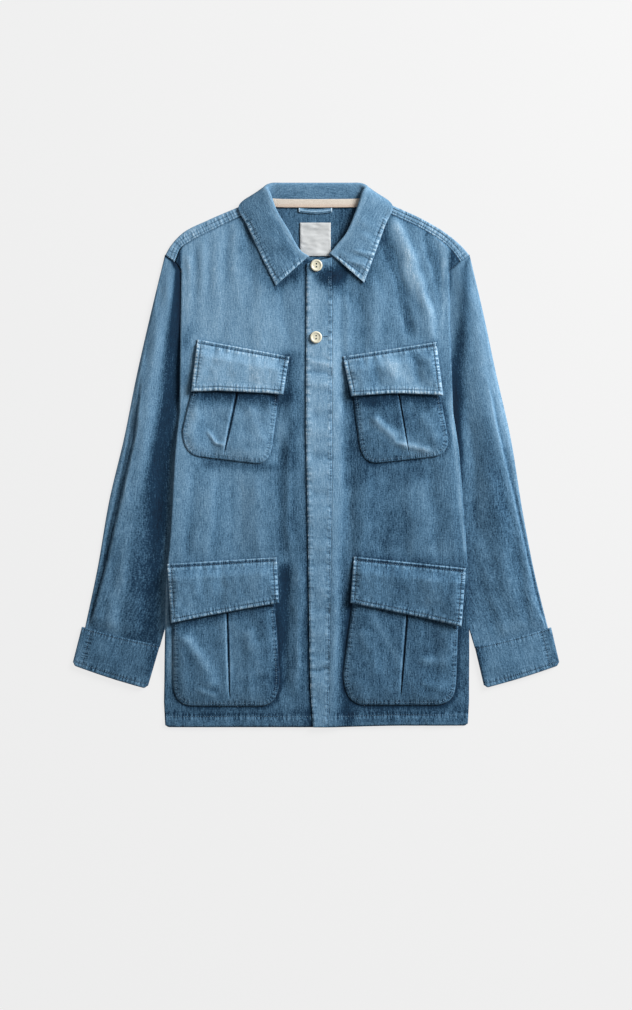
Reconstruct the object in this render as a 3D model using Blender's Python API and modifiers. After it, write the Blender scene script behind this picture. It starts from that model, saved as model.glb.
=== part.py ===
"""A light blue chambray overshirt, laid flat on its back.

Lengths are in millimetres until a mesh is made. X runs to the viewer's right, Y from the hem
to the collar and Z up from the surface that the shirt lies on. Left and right in the names of
pieces are the wearer's, so the wearer's left front is at +X.
"""

from functools import partial

import bmesh
import bpy
import numpy as np

# Cloth walls and the play between pieces
CLOTH = 1.2
FLAP_WALL = 2.0
COLLAR_WALL = 1.8
PLACKET_WALL = 2.2
CUFF_WALL = 1.8
TRIM_WALL = 1.0
SEAM_GAP = 0.4
LAY_GAP = 0.7
NECK_SEAM_GAP = 0.9
MM = 0.001

# Main lengths
HEM_Y = -408.0
PIT_Y = 64.0
SHOULDER_TIP_Y = 289.5
BODY_GAP = 1.8
SIDE_GAP = 0.45
ARMHOLE_GAP = 1.0
NECK_GAP = 0.8
SLEEVE_LIFT = 4.3
LIFT_RUN = 64.0
NECK_LIFT = 2.4
SLEEVE_EDGE = 3.4
SLEEVE_FULLNESS = 2.4
CUFF_HEIGHT = 6.2
CUFF_BOW = 1.5
WRIST_SHARES = (0.04, 0.995)
PLACKET_STEP = 2.0
BUTTON_RADIUS = 9.0
BUTTON_HEIGHT = 3.2
BUTTON_HOLE = 1.3
BUTTON_PLACES = ((0.6, 283.5), (0.0, 176.0))

# Where the heights of the lying cloth start to ease, and the runs over which they do
SLEEVE_TUCK = 4.0
PIT_RUN = 45.0
CUFF_CLEAR_Y = -352.0
CUFF_RUN = 60.0
NECK_LIFT_Y = 318.0
NECK_LIFT_RUN = 50.0
NECK_HALF = 85.0
NECK_HALF_RUN = 35.0
EDGE_RUN = 45.0
ARMHOLE_Y = 44.0
NECK_GAP_Y = 225.0
NECK_GAP_HALF = 100.0
NECK_GAP_RUN = 40.0
FOLD_EASE = 40.0
STEP_X = 39.0
STEP_RUN = 13.0
STEP_TOP_Y = 262.0
STEP_TOP_RUN = 40.0

# Side edge of the body from hem to shoulder tip: y, x at the viewer's left, x at the right
BODY_EDGE = (
    (HEM_Y, -226.0, 227.5),
    (-370.0, -228.0, 229.5),
    (-292.0, -226.5, 229.5),
    (-193.0, -224.5, 229.0),
    (-112.0, -217.5, 223.5),
    (4.0, -211.0, 214.5),
    (PIT_Y, -204.6, 205.6),
    (202.0, -203.0, 200.6),
    (277.0, -202.0, 200.5),
    (SHOULDER_TIP_Y, -212.4, 216.0),
    (299.4, -226.0, 229.8),
)

# Shoulder: fold over the top and the seam in front of it, from the sleeve to the neck
FOLD_LEFT_VIEW = (
    (-226.0, 299.4), (-219.8, 310.6), (-202.4, 330.5), (-160.0, 352.8), (-116.5, 371.5), (-81.0, 387.0),
)
FOLD_RIGHT_VIEW = (
    (229.8, 299.4), (222.3, 308.4), (197.4, 330.5), (165.2, 350.4), (114.2, 374.0), (81.0, 388.5),
)
SEAM_LEFT_VIEW = (
    (-212.4, 289.5), (-202.4, 311.0), (-187.0, 321.5), (-160.0, 335.4), (-116.5, 356.5), (-81.0, 372.0),
)
SEAM_RIGHT_VIEW = (
    (216.0, 289.5), (203.0, 307.0), (185.0, 323.0), (165.2, 335.4), (115.3, 359.6), (81.0, 375.0),
)

# Sleeve edges in plan from the shoulder tip and the underarm to the cuff
SLEEVE_OUTER_LEFT_VIEW = (
    (-226.0, 299.4), (-249.0, 207.0), (-269.4, 117.0), (-287.4, 27.0),
    (-309.8, -67.5), (-327.8, -171.0), (-346.0, -254.5),
)
SLEEVE_OUTER_RIGHT_VIEW = (
    (229.8, 299.4), (253.0, 202.5), (269.6, 124.0), (291.6, 27.0),
    (314.1, -85.5), (332.1, -180.0), (349.5, -255.5),
)
SLEEVE_INNER_LEFT_VIEW = (
    (-206.0, 64.0), (-211.5, 30.0), (-203.0, -22.5), (-187.0, -97.5),
    (-200.0, -202.5), (-226.0, -259.5), (-233.5, -283.0),
)
SLEEVE_INNER_RIGHT_VIEW = (
    (207.2, 64.0), (214.0, 30.0), (206.0, -22.5), (190.0, -97.5),
    (203.0, -202.5), (229.0, -259.5), (237.5, -285.0),
)

# Cuff corners in plan: outer top, inner top, outer bottom, inner bottom
CUFF_LEFT_VIEW = ((-351.0, -257.5), (-233.8, -285.0), (-364.5, -313.0), (-254.5, -349.0))
CUFF_RIGHT_VIEW = ((352.5, -258.5), (237.8, -287.2), (364.5, -313.0), (253.5, -347.5))

# Edges of the fly band down the centre front
PLACKET_OUTER = (
    (-14.2, 286.5), (-15.3, 37.5), (-12.9, -81.0), (-11.4, -169.5),
    (-9.9, -288.0), (-8.4, -348.0), (-4.5, HEM_Y),
)
PLACKET_INNER = (
    (24.0, 295.5), (24.0, 7.5), (22.5, -111.0), (21.0, -229.5), (19.5, -333.0), (18.0, HEM_Y),
)
UNDERLAP_X = 13.0

# Rows and stations of points
FRONT_ROWS = (
    HEM_Y, -385.0, -345.0, -315.0, -285.0, -245.0, -200.0, -160.0, -120.0, -80.0, -40.0,
    -10.0, 10.0, 28.0, 46.0, 64.0, 110.0, 156.0, 202.0, 240.0, 277.0,
)
BACK_ROWS = FRONT_ROWS[:-1] + (258.0, 277.0, SHOULDER_TIP_Y)
SHOULDER_STATIONS = np.array((0.0, 0.12, 0.3, 0.5, 0.7, 0.88, 1.0))
NECK_CENTRE = (0.0, 345.0)
NECK_STEEP_Y = 308.0
SIDE_HOLD = 3.0

# Soft folds of the panels and sleeves: x and y of both ends, height, half width
FOLDS = (
    (133.0, 345.0, 182.0, 190.0, 1.8, 16.0),
    (98.0, 240.0, 104.0, 185.0, 1.2, 15.0),
    (168.0, 60.0, 178.0, -60.0, 1.2, 17.0),
    (-151.0, 318.0, -138.0, 200.0, 1.6, 18.0),
    (-56.0, 240.0, -46.0, 185.0, 1.1, 14.0),
    (-174.0, -46.0, -186.0, -125.0, 1.4, 17.0),
    (-100.0, -46.0, -90.0, -120.0, 1.4, 19.0),
    (74.0, -46.0, 68.0, -120.0, 1.3, 17.0),
    (150.0, -46.0, 176.0, -122.0, 1.4, 19.0),
    (-258.0, 130.0, -302.0, -80.0, 1.7, 11.0),
    (-306.0, -100.0, -334.0, -236.0, 1.8, 10.0),
    (-236.0, 110.0, -246.0, -20.0, 1.4, 10.0),
    (-262.0, -90.0, -292.0, -210.0, 1.4, 13.0),
    (262.0, 120.0, 306.0, -70.0, 1.7, 11.0),
    (312.0, -100.0, 338.0, -236.0, 1.8, 10.0),
    (236.0, 110.0, 250.0, -20.0, 1.4, 10.0),
    (268.0, -90.0, 292.0, -210.0, 1.4, 13.0),
)

# Collar sections from the wearer's right front end, round the back, to the left front end:
# seam x, y, z; roll x, y, z; leaf edge x, y, z; radius of the roll
COLLAR_SECTIONS = (
    (-11.5, 293.0, 3.4, -9.6, 297.0, 6.3, -60.0, 253.5, 8.0, 2.6),
    (-28.5, 301.0, 3.4, -24.6, 308.1, 7.6, -73.5, 280.5, 8.0, 3.0),
    (-52.0, 320.0, 3.2, -40.5, 336.0, 9.6, -88.0, 310.5, 7.8, 3.5),
    (-70.0, 347.0, 2.6, -58.5, 366.0, 12.0, -103.5, 343.5, 7.8, 4.0),
    (-77.5, 377.0, 2.2, -68.0, 391.5, 13.0, -116.2, 371.0, 7.6, 4.4),
    (-74.0, 382.5, 4.4, -72.5, 401.0, 11.0, -96.0, 389.5, 3.4, 4.4),
    (-64.0, 380.5, 4.4, -66.0, 407.2, 7.0, -74.0, 393.5, 0.2, 4.0),
    (-48.0, 376.0, 4.6, -48.0, 407.9, 4.6, -48.0, 379.0, 0.0, 4.0),
    (0.0, 373.8, 4.8, 0.0, 407.9, 4.4, 0.0, 376.2, 0.0, 4.0),
    (48.0, 376.5, 4.6, 48.0, 407.9, 4.6, 48.0, 379.5, 0.0, 4.0),
    (64.0, 380.5, 4.4, 66.0, 407.2, 7.0, 74.0, 393.5, 0.2, 4.0),
    (74.0, 382.5, 4.4, 72.5, 401.0, 11.0, 96.0, 389.5, 3.4, 4.4),
    (77.5, 377.0, 2.2, 68.0, 391.5, 13.0, 115.0, 372.0, 7.6, 4.4),
    (71.0, 350.0, 2.6, 60.5, 367.5, 12.0, 105.0, 346.5, 7.8, 4.0),
    (54.0, 323.0, 3.2, 46.0, 334.0, 9.6, 94.5, 318.0, 7.8, 3.5),
    (36.0, 306.5, 3.4, 30.0, 313.5, 7.6, 84.0, 289.5, 8.2, 3.0),
    (21.5, 297.5, 3.4, 19.5, 301.5, 6.3, 72.0, 258.0, 8.4, 2.6),
)

# Neck trim
TAPE_REACH = (-2.5, 10.0)
TAPE_HALF = 62.0
LOOP_CENTRE = (-1.0, 367.0)
LOOP_SIZE = (50.0, 6.5)
LOOP_SAG = 2.5
LABEL_CENTRE = (-1.0, 323.0)
LABEL_SIZE = (46.0, 50.0)

# Pockets: corners in plan of the flap and of the bag below it, and the pleat's ends.
# Flap: top left, top right, bottom right, bottom left in the view.
# Bag: lower end of the left side, left corner, right corner, lower end of the right side.
POCKETS = {
    "chest_right": {
        "flap": ((-177.8, 173.0), (-39.9, 147.3), (-48.5, 91.3), (-187.0, 98.5)),
        "bag": ((-200.0, 38.0), (-199.0, 0.0), (-67.0, -16.0), (-64.3, 24.0)),
        "pleat": ((-118.2, 94.0), (-136.0, 9.0)),
        "rise": 2.4,
    },
    "chest_left": {
        "flap": ((39.6, 147.3), (180.3, 169.0), (190.3, 91.3), (52.7, 88.5)),
        "bag": ((64.0, 22.5), (68.0, -15.0), (198.0, -1.0), (198.0, 25.0)),
        "pleat": ((124.3, 90.0), (138.8, 4.0)),
        "rise": 2.4,
    },
    "hip_right": {
        "flap": ((-220.5, -163.2), (-58.8, -153.2), (-55.2, -221.4), (-217.8, -250.5)),
        "bag": ((-214.2, -340.0), (-214.0, -376.0), (-54.5, -377.0), (-54.3, -331.0)),
        "pleat": ((-132.5, -239.6), (-128.7, -361.0)),
        "rise": 2.8,
    },
    "hip_left": {
        "flap": ((56.4, -152.2), (224.5, -169.5), (217.3, -256.8), (51.0, -221.4)),
        "bag": ((40.5, -326.0), (41.5, -375.0), (211.0, -375.0), (210.0, -335.0)),
        "pleat": ((136.5, -239.6), (126.5, -364.0)),
        "rise": 2.8,
    },
}
PLEAT_DEPTH = 2.2

# Colours as linear light
CHAMBRAY = (0.115, 0.225, 0.345, 1.0)
CHAMBRAY_PALE = (0.165, 0.295, 0.425, 1.0)
CHAMBRAY_DEEP = (0.07, 0.145, 0.23, 1.0)
TAPE_CREAM = (0.49, 0.45, 0.39, 1.0)
LABEL_WHITE = (0.52, 0.54, 0.56, 1.0)
BUTTON_CREAM = (0.67, 0.65, 0.53, 1.0)


def smooth(t):
    t = np.clip(t, 0.0, 1.0)
    return t * t * (3.0 - 2.0 * t)


def unit(vectors):
    return vectors / np.linalg.norm(vectors, axis=-1, keepdims=True)


def straight(rows, stations):
    """Points on the polyline through the rows, at shares of its length."""
    rows = np.asarray(rows, float)
    steps = np.linalg.norm(np.diff(rows, axis=0), axis=1)
    knots = np.concatenate([[0.0], np.cumsum(steps)]) / steps.sum()
    return np.stack([np.interp(stations, knots, column) for column in rows.T], axis=-1)


def curve(rows, stations, even=False):
    """Points on a smooth curve through the rows, at shares of its length in plan or of its rows."""
    rows = np.asarray(rows, float)
    stations = np.asarray(stations, float)
    steps = np.linalg.norm(np.diff(rows[:, :2], axis=0), axis=1)
    knots = np.concatenate([[0.0], np.cumsum(steps)]) / steps.sum()
    if even:
        knots = shares(len(rows))
    slopes = np.gradient(rows, knots, axis=0)
    cell = np.clip(np.searchsorted(knots, stations, side="right") - 1, 0, len(knots) - 2)
    span = (knots[cell + 1] - knots[cell])[..., None]
    t = (stations - knots[cell])[..., None] / span
    start = rows[cell] * (1 + 2 * t) * (1 - t) ** 2 + slopes[cell] * span * t * (1 - t) ** 2
    end = rows[cell + 1] * t * t * (3 - 2 * t) + slopes[cell + 1] * span * t * t * (t - 1)
    return start + end


def collar_rows(steps):
    """The collar's sections, with even steps between those of its table."""
    return curve(COLLAR_SECTIONS, shares(steps * (len(COLLAR_SECTIONS) - 1) + 1), even=True)


def at_rows(rows, stations):
    """Points on the polyline through the rows, with the rows at even shares."""
    rows = np.asarray(rows, float)
    return np.stack([np.interp(stations, shares(len(rows)), column) for column in rows.T], axis=-1)


def joined(first, second, stations):
    """Two curves end to end, each over half of the stations' range."""
    stations = np.asarray(stations, float)
    early = first(np.clip(stations * 2.0, 0.0, 1.0))
    late = second(np.clip(stations * 2.0 - 1.0, 0.0, 1.0))
    return np.where(stations[..., None] < 0.5, early, late)


def patch(bottom, top, left, right, u, v, hold=1.0):
    """A patch between four edge curves, at the shares u across and v up.

    The bend of the left and right edges fades across the patch as a power of the share.
    """
    across = u[..., None]
    up = v[..., None]
    ends = np.array((0.0, 1.0))
    left_ends = left(ends)
    right_ends = right(ends)
    left_bend = left(v) - (1 - up) * left_ends[0] - up * left_ends[1]
    right_bend = right(v) - (1 - up) * right_ends[0] - up * right_ends[1]
    ruled = (1 - up) * bottom(u) + up * top(u)
    return ruled + left_bend * (1 - across) ** hold + right_bend * across ** hold


def shares(count):
    return np.linspace(0.0, 1.0, count)


def body_edge(y, side):
    rows = np.asarray(BODY_EDGE)
    return np.interp(y, rows[:, 0], rows[:, 1 if side < 0 else 2])


def body_edge_up_to(top_y, side, stations):
    """The body's side edge from the hem to a height, at shares of that height."""
    y = HEM_Y + np.asarray(stations) * (top_y - HEM_Y)
    return np.stack([body_edge(y, side), y], axis=-1)


def hidden_edge(y, side):
    rows = SLEEVE_INNER_LEFT_VIEW if side < 0 else SLEEVE_INNER_RIGHT_VIEW
    rows = np.asarray(rows)[::-1]
    return np.abs(np.interp(y, rows[:, 1], rows[:, 0]))


def ground(x, y):
    """Height of what lies under the back: the sleeves at the sides and the collar at the neck."""
    reach = np.where(x < 0, hidden_edge(y, -1), hidden_edge(y, 1)) - SLEEVE_TUCK
    across = smooth((np.abs(x) - reach + LIFT_RUN) / LIFT_RUN)
    along = smooth((PIT_Y - y) / PIT_RUN) * smooth((y - CUFF_CLEAR_Y) / CUFF_RUN)
    neck = smooth((y - NECK_LIFT_Y) / NECK_LIFT_RUN) * smooth((NECK_HALF - np.abs(x)) / NECK_HALF_RUN)
    return SLEEVE_LIFT * across * along + NECK_LIFT * neck


def folds(x, y):
    total = np.zeros_like(x)
    for x0, y0, x1, y1, height, half_width in FOLDS:
        length = np.hypot(x1 - x0, y1 - y0)
        along = ((x - x0) * (x1 - x0) + (y - y0) * (y1 - y0)) / length
        off = ((x - x0) * (y1 - y0) - (y - y0) * (x1 - x0)) / length
        ends = smooth(along / FOLD_EASE + 0.5) * smooth((length - along) / FOLD_EASE + 0.5)
        total = total + height * np.exp(-((off / half_width) ** 2)) * ends
    return total


def front_top(x, y):
    """Upper face of the fronts, and of the shoulder strips that the back brings over."""
    x = np.asarray(x, float)
    y = np.asarray(y, float)
    side = np.where(x < 0, -body_edge(y, -1), body_edge(y, 1))
    inside = smooth((side - np.abs(x)) / EDGE_RUN)
    at_edge = SIDE_GAP + (ARMHOLE_GAP - SIDE_GAP) * smooth((y - ARMHOLE_Y) / PIT_RUN)
    at_neck = smooth((y - NECK_GAP_Y) / NECK_LIFT_RUN) * smooth((NECK_GAP_HALF - np.abs(x)) / NECK_GAP_RUN)
    gap = at_edge + (BODY_GAP - at_edge + folds(x, y)) * inside + NECK_GAP * at_neck
    return ground(x, y) + CLOTH + gap + CLOTH


def new_collection(name):
    collection = bpy.data.collections.new(name)
    bpy.context.scene.collection.children.link(collection)
    return collection


def finish(name, colour, roughness):
    material = bpy.data.materials.new(name)
    material.use_nodes = True
    shader = material.node_tree.nodes["Principled BSDF"]
    shader.inputs["Base Color"].default_value = colour
    shader.inputs["Roughness"].default_value = roughness
    shader.inputs["Metallic"].default_value = 0.0
    return material


def add_object(name, mesh, colour, roughness=0.9):
    mesh.materials.append(finish(name + "_finish", colour, roughness))
    piece = bpy.data.objects.new(name, mesh)
    bpy.data.collections["overshirt"].objects.link(piece)
    return piece


def cloth(name, points, wall, colour, outside, tube=False, drop=None):
    """A sheet or tube through a grid of points, with its wall on the inner side."""
    rows, columns = points.shape[:2]
    bm = bmesh.new()
    bmesh.ops.create_grid(bm, x_segments=columns - 1, y_segments=rows - 1, size=1.0)
    bm.verts.ensure_lookup_table()
    for vertex, place in zip(bm.verts, points.reshape(-1, 3)):
        vertex.co = place * MM
    bm.faces.ensure_lookup_table()
    if drop is not None:
        unused = [face for face, out in zip(bm.faces, drop.reshape(-1)) if out]
        bmesh.ops.delete(bm, geom=unused, context="FACES")
    if tube:
        bmesh.ops.remove_doubles(bm, verts=bm.verts, dist=1e-6)
    bm.normal_update()
    middle = sum(vertex.co.z for vertex in bm.verts) / len(bm.verts)
    weights = {"up": lambda z: 1.0, "down": lambda z: -1.0, "round": lambda z: z - middle}
    weight = weights[outside]
    facing = sum(face.normal.z * face.calc_area() * weight(face.calc_center_median().z) for face in bm.faces)
    if facing < 0.0:
        bmesh.ops.reverse_faces(bm, faces=bm.faces)
    mesh = bpy.data.meshes.new(name)
    bm.to_mesh(mesh)
    bm.free()
    mesh.shade_smooth()
    piece = add_object(name, mesh, colour)
    shell = piece.modifiers.new("wall", "SOLIDIFY")
    shell.thickness = wall * MM
    shell.offset = -1.0
    shell.use_even_offset = True
    shell.use_rim = True
    return piece


def loft(name, rings, colour):
    """A closed solid through rings of points, with both ends filled."""
    bm = bmesh.new()
    bmesh.ops.create_grid(bm, x_segments=rings.shape[1] - 1, y_segments=rings.shape[0] - 1, size=1.0)
    for vertex, place in zip(bm.verts, rings.reshape(-1, 3)):
        vertex.co = place * MM
    bmesh.ops.remove_doubles(bm, verts=bm.verts, dist=1e-6)
    bm.verts.ensure_lookup_table()
    size = rings.shape[1] - 1
    for first in (0, len(bm.verts) - size):
        for place in range(size // 2 - 1):
            across = (place, place + 1, size - 2 - place, size - 1 - place)
            bm.faces.new([bm.verts[first + corner] for corner in across])
    bmesh.ops.recalc_face_normals(bm, faces=bm.faces)
    if bm.calc_volume(signed=True) < 0.0:
        bmesh.ops.reverse_faces(bm, faces=bm.faces)
    mesh = bpy.data.meshes.new(name)
    bm.to_mesh(mesh)
    bm.free()
    mesh.shade_smooth()
    mesh.set_sharp_from_angle(angle=np.radians(50.0))
    return add_object(name, mesh, colour)


def raised(plan, height):
    return np.concatenate([plan, height[..., None]], axis=-1)


def side_stations(heights, top_y):
    """Shares of the body's side at which rows of points lie."""
    rows = np.asarray(heights + (top_y,))
    return (rows - HEM_Y) / (top_y - HEM_Y)


def build_fronts():
    """Two front panels, from the shoulder seam and neck to the hem."""
    neck = collar_rows(2)[:, :2]
    steep = smooth((neck[:, 1:] - NECK_STEEP_Y) / 40.0)
    neck = neck + unit(neck - np.array(NECK_CENTRE)) * (NECK_SEAM_GAP + COLLAR_WALL * steep)
    u = np.concatenate([SHOULDER_STATIONS / 2.0, 0.5 + shares(10)[1:] / 2.0])
    u_grid, v_grid = np.meshgrid(u, side_stations(FRONT_ROWS, SHOULDER_TIP_Y))

    underlap_top = (UNDERLAP_X, neck[0, 1] - 3.0)
    shoulder = partial(curve, SEAM_LEFT_VIEW)
    collar_line = partial(at_rows, np.vstack([SEAM_LEFT_VIEW[-1], neck[7::-1], underlap_top]))
    plan = patch(
        partial(straight, ((body_edge(HEM_Y, -1), HEM_Y), (UNDERLAP_X, HEM_Y))),
        partial(joined, shoulder, collar_line),
        partial(body_edge_up_to, SHOULDER_TIP_Y, -1),
        partial(straight, ((UNDERLAP_X, HEM_Y), underlap_top)),
        u_grid,
        v_grid,
        SIDE_HOLD,
    )
    cloth("front_right", raised(plan, front_top(plan[..., 0], plan[..., 1])), CLOTH, CHAMBRAY, "up")

    centre = np.asarray(PLACKET_INNER[::-1]) + np.array([SEAM_GAP, 0.0])
    centre[-1, 1] = neck[-1, 1] - SEAM_GAP
    shoulder = partial(curve, SEAM_RIGHT_VIEW[::-1])
    corner = np.asarray(SEAM_RIGHT_VIEW[-1])
    last = (neck[-8] + corner) / 2.0
    collar_line = partial(at_rows, np.vstack([centre[-1], neck[-2:-9:-1], last, corner]))
    plan = patch(
        partial(straight, (centre[0], (body_edge(HEM_Y, 1), HEM_Y))),
        partial(joined, collar_line, shoulder),
        partial(straight, centre),
        partial(body_edge_up_to, SHOULDER_TIP_Y, 1),
        1.0 - u_grid[:, ::-1],
        v_grid,
        SIDE_HOLD,
    )
    x, y = plan[..., 0], plan[..., 1]
    step = PLACKET_STEP * smooth((STEP_X - x) / STEP_RUN) * smooth((STEP_TOP_Y - y) / STEP_TOP_RUN)
    cloth("front_left", raised(plan, front_top(x, y) + step), CLOTH, CHAMBRAY, "up")


def shoulder_wrap(fold, seam):
    """Rows that carry the back over the shoulder fold to the seam in front of it."""
    fold = curve(fold, SHOULDER_STATIONS)
    seam = curve(seam, SHOULDER_STATIONS)
    inward = unit(seam - fold)
    top = front_top(seam[:, 0], seam[:, 1])
    radius = (top / 2.0)[:, None]
    rows = []
    for turn in np.radians((-90.0, -45.0, 0.0, 45.0, 90.0)):
        plan = fold + inward * radius * (1.0 - np.cos(turn))
        rows.append(np.concatenate([plan, radius * (1.0 + np.sin(turn))], axis=-1))
    end = seam - inward * SEAM_GAP
    rows.append(raised((rows[-1][:, :2] + end) / 2.0, top))
    rows.append(raised(end, top))
    return np.asarray(rows)


def build_back():
    """The back panel, with the strips that come forward over the shoulders."""
    left = shoulder_wrap(FOLD_LEFT_VIEW, SEAM_LEFT_VIEW)
    right = shoulder_wrap(FOLD_RIGHT_VIEW, SEAM_RIGHT_VIEW)[:, ::-1]
    neck_line = collar_rows(2)[12:21, :2] - np.array([0.0, SEAM_GAP])
    top_row = np.vstack([left[0, :, :2], neck_line, right[0, :, :2]])
    columns = len(top_row)
    v = side_stations(BACK_ROWS, top_row[0, 1])
    u_grid, v_grid = np.meshgrid(shares(columns), v)
    plan = patch(
        partial(straight, ((body_edge(HEM_Y, -1), HEM_Y), (body_edge(HEM_Y, 1), HEM_Y))),
        partial(at_rows, top_row),
        partial(body_edge_up_to, top_row[0, 1], -1),
        partial(body_edge_up_to, top_row[-1, 1], 1),
        u_grid,
        v_grid,
        SIDE_HOLD,
    )
    under = raised(plan, ground(plan[..., 0], plan[..., 1]))
    wraps = len(SHOULDER_STATIONS)
    over = np.repeat(under[-1:], len(left) - 1, axis=0)
    over[:, :wraps] = left[1:]
    over[:, -wraps:] = right[1:]
    points = np.concatenate([under, over])
    drop = np.zeros((points.shape[0] - 1, columns - 1), bool)
    drop[len(v) - 1:, wraps - 1:columns - wraps] = True
    cloth("back", points, CLOTH, CHAMBRAY, "down", drop=drop)


def build_placket():
    """The fly band on the wearer's left front, lying over the right front's edge."""
    u_grid, v_grid = np.meshgrid(shares(5), shares(24))
    outer = partial(straight, PLACKET_OUTER[::-1])
    inner = partial(straight, PLACKET_INNER[::-1])
    plan = patch(
        partial(straight, (PLACKET_OUTER[-1], PLACKET_INNER[-1])),
        partial(straight, (PLACKET_OUTER[0], PLACKET_INNER[0])),
        outer,
        inner,
        u_grid,
        v_grid,
    )
    height = front_top(plan[..., 0], plan[..., 1]) + LAY_GAP + PLACKET_WALL
    cloth("placket", raised(plan, height), PLACKET_WALL, CHAMBRAY_PALE, "up")


def flat_tube(plan_at, rings, edge_height, top_height, across_top, across_under, open_until=-1.0):
    """Rings of a flattened tube: along its underside, round one edge, over the top and back.

    Rings before a given share are open along the inner edge, where a seam joins another piece.
    """
    points = []
    for ring in rings:
        reach = 1.0 / max(across_top) if ring < open_until else 1.0
        under = across_under[::-1] * reach
        over = across_top * reach
        order = np.concatenate([under, [0.0], over, [1.0], under[:1]])
        plan = plan_at(np.full(len(order), ring), order)
        height = np.zeros(len(order))
        height[len(under)] = edge_height(ring) / 2.0
        top = slice(len(under) + 1, len(under) + 1 + len(over))
        height[top] = top_height(ring, over, plan[top])
        height[-2] = edge_height(ring) / 2.0
        points.append(raised(plan, height))
    points = np.asarray(points)
    drop = np.zeros((len(rings) - 1, points.shape[1] - 1), bool)
    drop[np.asarray(rings)[1:] <= open_until, -2:] = True
    return points, drop


def cuff_top(corners, stations):
    """The cuff's upper edge in plan, from its outer to its inner corner."""
    outer, inner = np.asarray(corners[:2])
    share = np.asarray(stations)[..., None]
    return outer + (inner - outer) * share + np.array([0.0, -CUFF_BOW]) * np.sin(np.pi * share)


def build_sleeve(name, side, outer, inner, cuff):
    """A long sleeve lying flat, sewn to the armhole, its inner edge under the body's side."""
    wrist = cuff_top(cuff, np.linspace(*WRIST_SHARES, 9)) + np.array([0.0, SEAM_GAP])
    shift = np.array([side * 1.5, -1.2]) * SEAM_GAP
    armhole = np.asarray([row for row in BODY_EDGE if row[0] >= PIT_Y])[::-1]
    armhole = np.stack([armhole[:, 1 if side < 0 else 2], armhole[:, 0]], axis=-1) + shift
    cap = armhole[:3]
    outer = np.vstack([cap[0], outer[1:-1], wrist[0]])
    inner = np.vstack([armhole[2:], inner[1:-1], wrist[-1]])
    lengths = np.linalg.norm(np.diff(inner, axis=0), axis=1)
    pit = lengths[:len(armhole) - 3].sum() / lengths.sum()
    rings = np.concatenate([pit * shares(6), pit + (1.0 - pit) * shares(13)[1:]])

    def plan_at(u, v):
        start = partial(straight, cap)
        end = partial(straight, wrist)
        return patch(start, end, partial(curve, outer), partial(straight, inner), v, u)

    def edge_height(u):
        return SLEEVE_EDGE + smooth((u - 0.94) / 0.06)

    def top_height(u, v, plan):
        full = SLEEVE_FULLNESS * np.exp(-(((v - 0.32) / 0.22) ** 2)) * smooth(u / 0.2)
        clear = smooth(u / 0.15) * smooth((0.72 - v) / 0.15) * smooth(v / 0.08)
        return edge_height(u) + full + folds(plan[:, 0], plan[:, 1]) * clear

    across_top = np.array((0.015, 0.12, 0.24, 0.36, 0.48, 0.6, 0.72, 0.85, 0.985))
    across_under = np.array((0.015, 0.25, 0.5, 0.75, 0.985))
    points, drop = flat_tube(plan_at, rings, edge_height, top_height, across_top, across_under, pit)
    cloth(name, points, CLOTH, CHAMBRAY, "round", tube=True, drop=drop)


def build_cuff(name, corners):
    """A cuff closed round the sleeve's end and lying flat."""
    drop = np.asarray(corners[2:]) - np.asarray(corners[:2])

    def plan_at(u, v):
        down = drop[0] + (drop[1] - drop[0]) * v[:, None]
        return cuff_top(corners, v) + down * u[:, None]

    def edge_height(u):
        return CUFF_HEIGHT - 1.0

    def top_height(u, v, plan):
        return edge_height(u) + np.sin(np.pi * v) * (1.0 + 0.5 * np.sin(np.pi * u))

    across_top = np.array((0.02, 0.12, 0.27, 0.42, 0.58, 0.73, 0.88, 0.98))
    across_under = np.array((0.02, 0.2, 0.5, 0.8, 0.98))
    points, _ = flat_tube(plan_at, shares(5), edge_height, top_height, across_top, across_under)
    cloth(name, points, CUFF_WALL, CHAMBRAY_DEEP, "round", tube=True)


def collar_section(row):
    """The collar's outer face at one section: up the stand, over the roll, down the leaf."""
    seam, roll, edge, radius = row[0:3], row[3:6], row[6:9], row[9]
    back = unit((seam + edge) / 2.0 - roll)
    spread = seam - edge
    spread = unit(spread - back * np.dot(spread, back))
    bend = [
        roll + back * radius * (1.0 - np.cos(turn)) + spread * radius * np.sin(turn)
        for turn in np.radians((90.0, 45.0, 0.0, -45.0, -90.0))
    ]
    stand = [seam, (seam + bend[0]) / 2.0]
    leaf = [bend[-1] + (edge - bend[-1]) * share for share in (0.25, 0.5, 0.75, 1.0)]
    return np.asarray(stand + bend + leaf)


def build_collar():
    """The collar: a stand from the neck seam, the roll, and the leaf turned down over it."""
    outer = np.asarray([collar_section(row) for row in collar_rows(2)])
    outer[..., 2] = np.maximum(outer[..., 2], 0.0)
    inward = unit(np.cross(np.gradient(outer, axis=1), np.gradient(outer, axis=0)))
    inward[[0, -1]] = inward[[1, -2]]
    inward[1:-1] = unit(inward[:-2] + 2.0 * inward[1:-1] + inward[2:])
    inner = outer + inward * COLLAR_WALL
    hub = (outer[:, 2:3] + outer[:, 6:7]) / 2.0
    bend = outer[:, 2:7] - hub
    inner[:, 2:7] = hub + bend - unit(bend) * COLLAR_WALL
    inner[..., 2] = np.maximum(inner[..., 2], 0.0)
    loft("collar", np.concatenate([outer, inner[:, ::-1], outer[:, :1]], axis=1), CHAMBRAY)


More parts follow.
